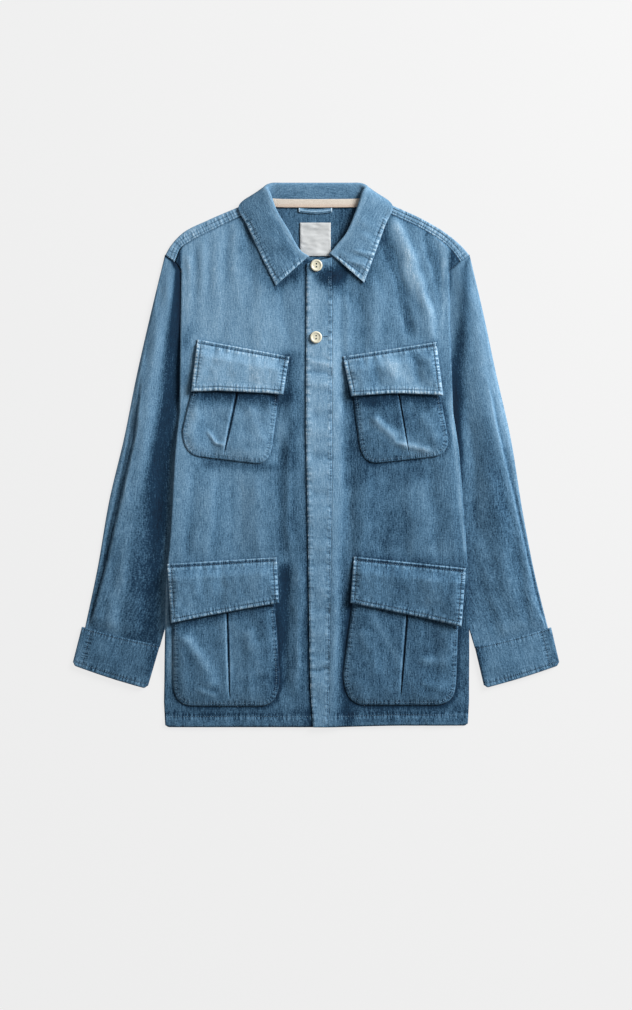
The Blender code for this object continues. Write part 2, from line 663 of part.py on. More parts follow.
def build_neck_trim():
    """The tape over the neck seam, the hanging loop below it and the bare label."""
    rows = collar_rows(6)
    rows = rows[(np.abs(rows[:, 0]) < TAPE_HALF) & (rows[:, 1] > LOOP_CENTRE[1])]
    sections = np.asarray([collar_section(row) for row in rows])
    seam = sections[:, 0]
    up = unit(sections[:, 2] - seam)
    normal = unit(np.cross(np.gradient(seam, axis=0), up))
    normal = normal * np.sign(normal[:, 2:3])
    lift = normal * (LAY_GAP + TRIM_WALL)
    tape = np.asarray([seam + up * reach + lift for reach in np.linspace(*TAPE_REACH, 4)])
    cloth("neck_tape", tape, TRIM_WALL, TAPE_CREAM, "up")

    u_grid, v_grid = np.meshgrid(shares(11), shares(3))
    x = LOOP_CENTRE[0] + (u_grid - 0.5) * LOOP_SIZE[0]
    sag = LOOP_SAG * np.sin(np.pi * u_grid)
    y = LOOP_CENTRE[1] + (v_grid - 0.5) * LOOP_SIZE[1] - sag
    height = ground(x, y) + CLOTH + LAY_GAP + TRIM_WALL
    cloth("hanger_loop", np.stack([x, y, height], axis=-1), TRIM_WALL, CHAMBRAY_PALE, "up")

    u_grid, v_grid = np.meshgrid(shares(7), shares(7))
    x = LABEL_CENTRE[0] + (u_grid - 0.5) * LABEL_SIZE[0]
    y = LABEL_CENTRE[1] + (v_grid - 0.5) * LABEL_SIZE[1]
    height = ground(x, y) + CLOTH + LAY_GAP + TRIM_WALL
    cloth("label", np.stack([x, y, height], axis=-1), TRIM_WALL, LABEL_WHITE, "up")


def corner_arc(start, corner, end, stations):
    t = np.asarray(stations)[..., None]
    return start * (1 - t) ** 2 + 2.0 * corner * t * (1 - t) + end * t * t


def build_pocket(place, sizes):
    """A pocket bag with a pleat down its middle, and the flap over its mouth."""
    top_left, top_right, low_right, low_left = np.asarray(sizes["flap"])
    left_low, left_corner, right_corner, right_low = np.asarray(sizes["bag"])
    mouth_left = top_left + (low_left - top_left) * 0.36 + np.array([6.0, 0.0])
    mouth_right = top_right + (low_right - top_right) * 0.36 - np.array([7.0, 0.0])
    floor_left = left_corner + (right_corner - left_corner) * 0.2
    floor_right = right_corner + (left_corner - right_corner) * 0.2
    half = np.linspace(0.5, 1.0, 4)
    first = np.linspace(0.0, 0.5, 4)
    left_side = np.vstack([corner_arc(left_low, left_corner, floor_left, first[::-1]), mouth_left])
    right_side = np.vstack([corner_arc(right_low, right_corner, floor_right, first[::-1]), mouth_right])
    bottom = np.vstack([
        corner_arc(left_low, left_corner, floor_left, half),
        corner_arc(right_low, right_corner, floor_right, half[::-1]),
    ])

    columns = np.array((0.0, 0.05, 0.16, 0.3, 0.42, 0.47, 0.5, 0.53, 0.58, 0.7, 0.84, 0.95, 1.0))
    s_grid, v_grid = np.meshgrid(columns, np.array((0.0, 0.06, 0.16, 0.3, 0.45, 0.6, 0.75, 0.88, 1.0)))
    pleat_top, pleat_low = np.asarray(sizes["pleat"])
    share_top = (pleat_top[0] - left_low[0]) / (right_low[0] - left_low[0])
    share_low = (pleat_low[0] - left_low[0]) / (right_low[0] - left_low[0])
    pleat_u = share_low + (share_top - share_low) * v_grid
    right_of_pleat = 1.0 - (1.0 - s_grid) * 2.0 * (1.0 - pleat_u)
    u_grid = np.where(s_grid < 0.5, s_grid * 2.0 * pleat_u, right_of_pleat)
    plan = patch(
        partial(straight, bottom),
        partial(straight, (mouth_left, mouth_right)),
        partial(straight, left_side),
        partial(straight, right_side),
        u_grid,
        v_grid,
    )
    full = smooth(np.minimum(u_grid, 1.0 - u_grid) / 0.2) * smooth(v_grid / 0.22)
    pleat = np.exp(-(((s_grid - 0.5) / 0.02) ** 2)) * smooth((v_grid - 0.06) / 0.2)
    height = front_top(plan[..., 0], plan[..., 1]) + LAY_GAP + CLOTH + sizes["rise"] * full
    cloth("pocket_" + place, raised(plan, height - PLEAT_DEPTH * pleat * full), CLOTH, CHAMBRAY, "up")

    u_grid, v_grid = np.meshgrid(shares(11), np.array((0.0, 0.12, 0.35, 0.6, 0.76, 0.9, 1.0)))
    plan = patch(
        partial(straight, (low_left, low_right)),
        partial(straight, (top_left, top_right)),
        partial(straight, (low_left, top_left)),
        partial(straight, (low_right, top_right)),
        u_grid,
        v_grid,
    )
    inset = np.minimum(u_grid, 1.0 - u_grid)
    over_bag = CLOTH + LAY_GAP + (sizes["rise"] + SEAM_GAP) * smooth(inset / 0.12 + 0.35)
    climb = smooth((1.0 - v_grid) / 0.28)
    height = front_top(plan[..., 0], plan[..., 1]) + LAY_GAP + FLAP_WALL + over_bag * climb
    cloth("flap_" + place, raised(plan, height), FLAP_WALL, CHAMBRAY_PALE, "up")


def build_button(name, place):
    """A cream two-hole button lying on the fly band."""
    x, y = place
    seat = front_top(x, y) + LAY_GAP + PLACKET_WALL + SEAM_GAP
    profile = (
        (0.0, 0.72), (0.55, 0.72), (0.7, 1.0), (0.9, 1.0), (1.0, 0.6), (0.86, 0.0), (0.0, 0.0),
    )
    bm = bmesh.new()
    rim = [bm.verts.new((r * BUTTON_RADIUS * MM, 0.0, h * BUTTON_HEIGHT * MM)) for r, h in profile]
    for upper, lower in zip(rim, rim[1:]):
        bm.edges.new((upper, lower))
    mesh = bpy.data.meshes.new(name)
    bm.to_mesh(mesh)
    bm.free()
    button = add_object(name, mesh, BUTTON_CREAM, 0.35)
    button.location = (x * MM, y * MM, float(seat) * MM)
    turn = button.modifiers.new("turn", "SCREW")
    turn.steps = 20
    turn.render_steps = 20
    turn.use_merge_vertices = True
    turn.merge_threshold = 0.00001
    for number, offset in enumerate((-0.24, 0.24)):
        bm = bmesh.new()
        bmesh.ops.create_cone(
            bm,
            cap_ends=True,
            segments=8,
            radius1=BUTTON_HOLE * MM,
            radius2=BUTTON_HOLE * MM,
            depth=BUTTON_HEIGHT * 6.0 * MM,
        )
        mesh = bpy.data.meshes.new(name + "_hole")
        bm.to_mesh(mesh)
        bm.free()
        drill = bpy.data.objects.new(f"{name}_hole_{number}", mesh)
        bpy.data.collections["cutters"].objects.link(drill)
        drill.location = (x * MM, (y + offset * BUTTON_RADIUS) * MM, float(seat) * MM)
        drill.hide_render = True
        drill.display_type = "WIRE"
        hole = button.modifiers.new(f"hole_{number}", "BOOLEAN")
        hole.operation = "DIFFERENCE"
        hole.object = drill


def build():
    for item in list(bpy.data.objects):
        bpy.data.objects.remove(item, do_unlink=True)
    new_collection("overshirt")
    new_collection("cutters")
    build_back()
    build_fronts()
    build_placket()
    build_sleeve("sleeve_right", -1, SLEEVE_OUTER_LEFT_VIEW, SLEEVE_INNER_LEFT_VIEW, CUFF_LEFT_VIEW)
    build_sleeve("sleeve_left", 1, SLEEVE_OUTER_RIGHT_VIEW, SLEEVE_INNER_RIGHT_VIEW, CUFF_RIGHT_VIEW)
    build_cuff("cuff_right", CUFF_LEFT_VIEW)
    build_cuff("cuff_left", CUFF_RIGHT_VIEW)
    build_collar()
    build_neck_trim()
    for place, sizes in POCKETS.items():
        build_pocket(place, sizes)
    for number, place in enumerate(BUTTON_PLACES):
        build_button(f"button_{number + 1}", place)


build()
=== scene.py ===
from functools import partial

import bmesh
import bpy
import numpy as np
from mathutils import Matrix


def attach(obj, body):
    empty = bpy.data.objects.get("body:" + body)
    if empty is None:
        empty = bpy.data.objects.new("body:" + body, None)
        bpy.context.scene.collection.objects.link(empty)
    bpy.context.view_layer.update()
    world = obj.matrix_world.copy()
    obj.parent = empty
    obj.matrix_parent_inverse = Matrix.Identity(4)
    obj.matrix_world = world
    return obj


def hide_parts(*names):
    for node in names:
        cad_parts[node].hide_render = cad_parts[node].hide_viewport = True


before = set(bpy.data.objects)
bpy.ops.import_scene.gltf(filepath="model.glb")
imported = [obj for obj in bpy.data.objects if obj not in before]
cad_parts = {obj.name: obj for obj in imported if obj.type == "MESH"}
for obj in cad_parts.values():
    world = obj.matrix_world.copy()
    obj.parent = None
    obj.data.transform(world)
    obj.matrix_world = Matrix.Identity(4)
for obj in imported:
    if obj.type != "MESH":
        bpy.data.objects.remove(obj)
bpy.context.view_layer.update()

mm = 0.001          # every length below is in millimetres until a mesh is made
print("frame loaded")


# easing and falloffs
def smooth(t):
    t = np.clip(t, 0.0, 1.0)
    return t * t * (3.0 - 2.0 * t)


def fade(distance, reach):           # 1 at 0, easing to 0 at the reach
    return 1.0 - smooth(distance / reach)


def bell(offset, width):
    return np.exp(-(offset / width) ** 2)


def shade(distance, reach, depth):       # painted shade: darker close to what stands over it
    return -depth * fade(distance, reach)


# points and curves
def unit(vectors):
    return vectors / np.maximum(np.linalg.norm(vectors, axis=-1, keepdims=True), 1e-9)


def shares(count):
    return np.linspace(0.0, 1.0, count)


def meshShares(columns, rows):
    return np.meshgrid(shares(columns), shares(rows))


def paired(first, second):
    return np.stack(np.broadcast_arrays(first, second), axis=-1)


def apart(points):
    return points[..., 0], points[..., 1]


def raised(plan, height):
    return np.concatenate([plan, height[..., None]], axis=-1)


def runAlong(points):
    return np.concatenate([[0.0], np.cumsum(np.linalg.norm(np.diff(points, axis=0), axis=1))])


def knotShares(rows):
    steps = np.linalg.norm(np.diff(rows[:, :2], axis=0), axis=1)
    return np.concatenate([[0.0], np.cumsum(steps)]) / steps.sum()


def throughKnots(rows, knots, stations):
    return np.stack([np.interp(stations, knots, column) for column in rows.T], axis=-1)


def straight(rows, stations):
    rows = np.asarray(rows, float)
    return throughKnots(rows, knotShares(rows), stations)


def evenRows(rows, stations):
    rows = np.asarray(rows, float)
    return throughKnots(rows, shares(len(rows)), stations)


def curve(rows, stations, even=False):
    rows = np.asarray(rows, float)
    stations = np.asarray(stations, float)
    knots = shares(len(rows)) if even else knotShares(rows)
    slopes = np.gradient(rows, knots, axis=0)
    cell = np.clip(np.searchsorted(knots, stations, side="right") - 1, 0, len(knots) - 2)
    span = (knots[cell + 1] - knots[cell])[..., None]
    t = (stations - knots[cell])[..., None] / span
    start = rows[cell] * (1 + 2 * t) * (1 - t) ** 2 + slopes[cell] * span * t * (1 - t) ** 2
    end = rows[cell + 1] * t * t * (3 - 2 * t) + slopes[cell + 1] * span * t * t * (t - 1)
    return start + end


def joined(first, second, stations):
    stations = np.asarray(stations, float)
    early = first(np.clip(stations * 2.0, 0.0, 1.0))
    late = second(np.clip(stations * 2.0 - 1.0, 0.0, 1.0))
    return np.where(stations[..., None] < 0.5, early, late)


# where a line of x and y, listed downward, stands at each y
def crossing(rows, y):
    rows = np.asarray(rows, float)[::-1]
    return np.interp(y, rows[:, 1], rows[:, 0])


# a patch between four edges, each a curve or its points; the sides' bend fades across it as a power
def patch(bottom, top, left, right, u, v, hold=1.0):
    edges = (bottom, top, left, right)
    bottom, top, left, right = (edge if callable(edge) else partial(straight, edge) for edge in edges)
    across, up = u[..., None], v[..., None]

    def bend(edge):
        start, end = edge(np.array((0.0, 1.0)))
        return edge(v) - (1 - up) * start - up * end

    ruled = (1 - up) * bottom(u) + up * top(u)
    return ruled + bend(left) * (1 - across) ** hold + bend(right) * across ** hold


def noise(x, y, size, seed):
    period = 64
    lattice = np.random.default_rng(seed).uniform(-1.0, 1.0, (period, period))
    column = np.floor(x / size).astype(int)
    row = np.floor(y / size).astype(int)
    right = smooth(x / size - column)
    up = smooth(y / size - row)

    def between(height):
        level = (row + height) % period
        return lattice[column % period, level] * (1 - right) + lattice[(column + 1) % period, level] * right

    return between(0) * (1 - up) + between(1) * up


# soft uneven ridges and troughs: x and y of both ends, height, half width and, for some, lean
def creases(x, y, rows, seed=1, ease=34.0):
    total = np.zeros(np.broadcast(x, y).shape)
    for number, (x0, y0, x1, y1, height, width, *leans) in enumerate(rows):
        length = np.hypot(x1 - x0, y1 - y0)
        along = ((x - x0) * (x1 - x0) + (y - y0) * (y1 - y0)) / length
        off = ((x - x0) * (y1 - y0) - (y - y0) * (x1 - x0)) / length
        row = np.full_like(along, number * 7.0)
        off = off + 0.45 * width * noise(along, row, 37.0, seed)
        wide = width * (1.0 + 0.35 * noise(along, row, 29.0, seed + 1))
        wide = wide * (1.0 + sum(leans) * np.tanh(off / width))
        ends = smooth(along / ease + 0.5) * smooth((length - along) / ease + 0.5)
        total = total + height * (1.0 + 0.35 * noise(along, row, 23.0, seed + 2)) * bell(off, wide) * ends
    return total


# distance from the nearest seam line, and the place along it
def seamField(plan, lines):
    flat = plan.reshape(-1, 2)
    gap = np.full(len(flat), 1e3)
    run = np.zeros(len(flat))
    before = 0.0
    for line in lines:
        line = np.asarray(line, float)[:, :2]
        for start, end in zip(line, line[1:]):
            step = end - start
            length = max(np.linalg.norm(step), 1e-6)
            t = np.clip(((flat - start) @ step) / length ** 2, 0.0, 1.0)
            away = np.linalg.norm(flat - start - t[:, None] * step, axis=1)
            near = away < gap
            gap = np.where(near, away, gap)
            run = np.where(near, before + t * length, run)
            before = before + length
        before = before + 37.0           # so that no two lines share their puckers
    return gap.reshape(plan.shape[:-1]), run.reshape(plan.shape[:-1])


# height of a grid above its own neighbourhood, which is where cloth wears pale
def standing(height, reach):
    kernel = np.hanning(2 * reach + 3)[1:-1]
    kernel = kernel / kernel.sum()
    blur = np.pad(height, reach, mode="edge")
    for axis in (1, 0):
        blur = np.apply_along_axis(lambda row: np.convolve(row, kernel, mode="valid"), axis, blur)
    return height - blur


# finishes
def addNode(tree, kind, **settings):
    node = tree.nodes.new(kind)
    for key, value in settings.items():
        setattr(node, key, value)
    return node


def nodeMaker(name):
    material = bpy.data.materials.new(name)
    material.use_nodes = True
    tree = material.node_tree

    def fill(node, inputs):
        for key, value in inputs.items():
            if isinstance(value, bpy.types.NodeSocket):
                tree.links.new(value, node.inputs[key])
            else:
                node.inputs[key].default_value = value

    def add(kind, inputs=None, **settings):
        node = addNode(tree, kind, **settings)
        fill(node, inputs or {})
        return node

    def maths(operation, first, second=0.0):
        return add("ShaderNodeMath", {0: first, 1: second}, operation=operation).outputs[0]

    def plus(total, gain, term):
        return maths("ADD", total, maths("MULTIPLY", term, gain))

    def fadeOut(value, low, high):      # 1 below low, easing to 0 above high
        inputs = {"Value": value, "From Min": low, "From Max": high, "To Min": 1.0, "To Max": 0.0}
        return add("ShaderNodeMapRange", inputs, interpolation_type="SMOOTHSTEP").outputs[0]

    def attribute(key):
        return add("ShaderNodeAttribute", attribute_name=key).outputs["Fac"]

    def grain():
        return add("ShaderNodeUVMap", uv_map="grain").outputs["UV"]

    def streaks(across, along, detail=2.0):
        scaled = add("ShaderNodeMapping", {"Vector": grain(), "Scale": (across, along, 1.0)}).outputs[0]
        inputs = {"Vector": scaled, "Scale": 1.0, "Detail": detail, "Roughness": 0.6}
        return add("ShaderNodeTexNoise", inputs, noise_dimensions="2D").outputs[0]

    def clouds(scale, detail):
        spot = add("ShaderNodeTexCoord").outputs["Object"]
        return add("ShaderNodeTexNoise", {"Vector": spot, "Scale": scale, "Detail": detail}).outputs[0]

    def weighted(start, terms):      # start + the sum of gain * (term - 0.5)
        for gain, term in terms:
            start = plus(start, gain, maths("SUBTRACT", term, 0.5))
        return start

    def ramp(value, stops):
        node = add("ShaderNodeValToRGB", {"Fac": value})
        elements = node.color_ramp.elements
        while len(elements) < len(stops):
            elements.new(0.5)
        for element, (place, colour) in zip(elements, stops):
            element.position = place
            element.color = (*colour, 1.0)
        return node.outputs["Color"]

    def bump(height, distance, strength=1.0):
        inputs = {"Height": height, "Distance": distance, "Strength": strength}
        return add("ShaderNodeBump", inputs).outputs["Normal"]

    def surface(colour, roughness, specular, normal=None, **others):
        inputs = {"Base Color": colour, "Roughness": roughness, "Specular IOR Level": specular}
        if normal is not None:
            inputs["Normal"] = normal
        fill(tree.nodes["Principled BSDF"], {**inputs, **others})
        return material

    for tool in (maths, plus, fadeOut, attribute, grain, streaks, clouds, weighted, ramp, bump, surface):
        setattr(add, tool.__name__, tool)
    return add


chambray = {
    # streaks to the metre across and along, detail, gain in colour, gain in relief
    "weave": (
        (950.0, 110.0, 2.0, 0.47, 0.5),      # single yarns
        (520.0, 62.0, 2.0, 0.33, 0.6),       # thick and thin stretches of yarn
        (110.0, 12.0, 2.0, 0.19, 0.0),       # broad streaks
        (120.0, 900.0, 2.0, 0.16, 0.35),     # weft
        (34.0, 30.0, 3.0, 0.14, 0.0),        # mottle
        (520.0, 430.0, 3.0, 0.62, 0.5),      # grit
    ),
    "stops": (
        (-0.4, (0.0015, 0.01, 0.026)),
        (0.0, (0.005, 0.028, 0.062)),
        (0.28, (0.058, 0.136, 0.224)),
        (0.52, (0.125, 0.241, 0.362)),
        (0.76, (0.212, 0.352, 0.488)),
        (1.0, (0.44, 0.59, 0.71)),
    ),
    "roughness": 0.9,
    "specular": 0.16,
    "sheen": 0.06,
    "tickGain": 0.24,        # light and dark puckers beside the seams
    "ropeGain": 0.5,         # and more of them on rubbed edges
    "tickScale": (0.31, 0.05),       # along a seam and away from it
    "tickEdges": (0.36, 0.64),
    "tickReach": (3.6, 6.4),
    "tickRelief": 0.8,
    "groove": 0.36,          # painted shade in the groove that the stitches lie in
    "grooveReach": (0.2, 1.2),
    "grooveRelief": 1.2,
    "edgePale": 0.2,         # rubbed edges
    "relief": (0.0005, 0.7),
}


def chambrayFinish(name, lift):
    add = nodeMaker(name)
    weave = [(add.streaks(*row[:3]), *row[3:]) for row in chambray["weave"]]
    gap, run, edge = (add.attribute(key) for key in ("seamGap", "seamRun", "edge"))
    scaled = [add.maths("MULTIPLY", place, scale) for place, scale in zip((run, gap), chambray["tickScale"])]
    spot = add("ShaderNodeCombineXYZ", dict(enumerate(scaled)))
    inputs = {"Vector": spot.outputs[0], "Scale": 1.0, "Detail": 1.0, "Roughness": 0.5}
    tick = add("ShaderNodeTexNoise", inputs, noise_dimensions="2D").outputs[0]
    tick = add.maths("SUBTRACT", 1.0, add.fadeOut(tick, *chambray["tickEdges"]))
    tick = add.maths("MULTIPLY", add.maths("SUBTRACT", tick, 0.5), add.fadeOut(gap, *chambray["tickReach"]))
    groove = add.fadeOut(gap, *chambray["grooveReach"])
    value = add.weighted(lift, [(colour, term) for term, colour, relief in weave])
    value = add.maths("ADD", value, add.attribute("tone"))
    value = add.plus(value, add.plus(chambray["tickGain"], chambray["ropeGain"], edge), tick)
    # painted shade in the stitch groove
    value = add.plus(value, -chambray["groove"], groove)
    value = add.plus(value, chambray["edgePale"], edge)
    height = add.weighted(0.5, [(relief, term) for term, colour, relief in weave if relief])
    height = add.plus(height, chambray["tickRelief"], tick)
    height = add.plus(height, -chambray["grooveRelief"], groove)
    low = chambray["stops"][0][0]            # the colour scale starts below its plain 0 to 1
    span = 1.0 - low
    value = add.maths("DIVIDE", add.maths("SUBTRACT", value, low), span)
    colour = add.ramp(value, [((place - low) / span, stop) for place, stop in chambray["stops"]])
    normal = add.bump(height, *chambray["relief"])
    sheen = {"Sheen Weight": chambray["sheen"]}
    return add.surface(colour, chambray["roughness"], chambray["specular"], normal, **sheen)


finishes = {
    "chambray": chambrayFinish("chambrayWash", 0.5),
    "chambray_pale": chambrayFinish("chambrayWornPale", 0.54),
    "chambray_deep": chambrayFinish("chambrayDeep", 0.46),
}
print("cloth finishes made")


def addPiece(name, mesh):
    piece = bpy.data.objects.new(name, mesh)
    bpy.context.scene.collection.objects.link(piece)
    return piece


def newMesh(name, places, edges, faces):
    mesh = bpy.data.meshes.new(name)
    mesh.from_pydata(places, edges, faces)
    return mesh


def cells(grid):
    return np.stack([grid[:-1, :-1], grid[:-1, 1:], grid[1:, 1:], grid[1:, :-1]], axis=-1)


# point numbers of a grid, loose for its grain and merged where its last column repeats the first
def numbered(rows, columns, wrap):
    loose = np.arange(rows * columns).reshape(rows, columns)
    merged = loose.copy()
    if wrap:
        merged[:, -1] = merged[:, 0]
    return loose, merged


# a mesh with its grain as a UV map and its look as values at the points
def clothPiece(name, places, faces, corners, grain, look):
    used, faces = np.unique(faces, return_inverse=True)
    mesh = newMesh(name, (places[used] * mm).tolist(), [], faces.reshape(-1, 4).tolist())
    mesh.uv_layers.new(name="grain")
    mesh.uv_layers["grain"].uv.foreach_set("vector", (grain.reshape(-1, 2)[corners] * mm).reshape(-1))
    for key, plain in (("tone", 0.0), ("seamGap", 99.0), ("seamRun", 0.0), ("edge", 0.0)):
        values = np.broadcast_to(look.get(key, plain), len(places))
        layer = mesh.attributes.new(key, "FLOAT", "POINT")
        layer.data.foreach_set("value", values[used].astype(np.float32))
    mesh.shade_smooth()
    return addPiece(name, mesh)


# a cloth piece: a wall through a grid of points, closed all round
def shell(name, points, wall, grain, look, outward, wrap=False, keep=None):
    size = points.shape[:2]
    loose, merged = numbered(*size, wrap)
    grids = (cells(grid) for grid in (merged, loose))
    faces, corners = (grid.reshape(-1, 4) if keep is None else grid[keep] for grid in grids)
    places = points.reshape(-1, 3)
    diagonals = (places[faces[:, corner + 2]] - places[faces[:, corner]] for corner in (0, 1))
    faceNormals = np.cross(*diagonals)
    normals = np.zeros_like(places)
    for corner in range(4):
        np.add.at(normals, faces[:, corner], faceNormals)
    normals = unit(normals)
    middle = places[faces].mean(axis=(0, 1))
    facing = {"up": normals[:, 2], "down": -normals[:, 2], "round": (normals * (places - middle))[:, 2]}
    if facing[outward].sum() < 0.0:
        faces, corners, normals = faces[:, ::-1], corners[:, ::-1], -normals
    inner = places - normals * np.broadcast_to(wall, size).reshape(-1, 1)
    count = len(places)
    starts, ends = faces.reshape(-1), np.roll(faces, -1, axis=1).reshape(-1)
    border = ~np.isin(starts * count + ends, ends * count + starts)
    looseStarts, looseEnds = corners.reshape(-1)[border], np.roll(corners, -1, axis=1).reshape(-1)[border]
    starts, ends = starts[border], ends[border]
    rim = np.stack([ends, starts, starts + count, ends + count], axis=-1)
    rimCorners = np.stack([looseEnds, looseStarts, looseStarts, looseEnds], axis=-1)
    return clothPiece(
        name, np.concatenate([places, inner]),
        np.concatenate([faces, faces[:, ::-1] + count, rim]),
        np.concatenate([corners, corners[:, ::-1], rimCorners]), grain,
        {key: np.tile(np.broadcast_to(values, size).reshape(-1), 2) for key, values in look.items()},
    )


# a closed solid through rings of points, with both ends filled
def solid(name, rings, grain, look, sharp):
    rows, columns = rings.shape[:2]
    loose, merged = numbered(rows, columns, True)
    size = columns - 1
    place = np.arange(size // 2 - 1)
    first = np.stack([place, place + 1, size - 2 - place, size - 1 - place], axis=-1)[:, ::-1]
    last = first[:, ::-1] + (rows - 1) * columns
    faces, corners = (np.concatenate([cells(grid).reshape(-1, 4), first, last]) for grid in (merged, loose))
    places = rings.reshape(-1, 3)
    one, two, three = (places[faces[:, corner]] for corner in range(3))
    if (one * np.cross(two, three)).sum() < 0.0:         # inside out
        faces, corners = faces[:, ::-1], corners[:, ::-1]
    look = {key: values.reshape(-1) for key, values in look.items()}
    piece = clothPiece(name, places, faces, corners, grain, look)
    piece.data.set_sharp_from_angle(angle=np.radians(sharp))
    return piece


# every piece takes a finish, rides on the one body and stands for its solid
def settle(piece, slot, nodes=(), material=None):
    piece.data.materials.clear()
    piece.data.materials.append(material or finishes[slot])
    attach(piece, "root")
    if nodes:
        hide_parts(*nodes)
    print("made", piece.name, len(piece.data.polygons), "faces")
    return piece


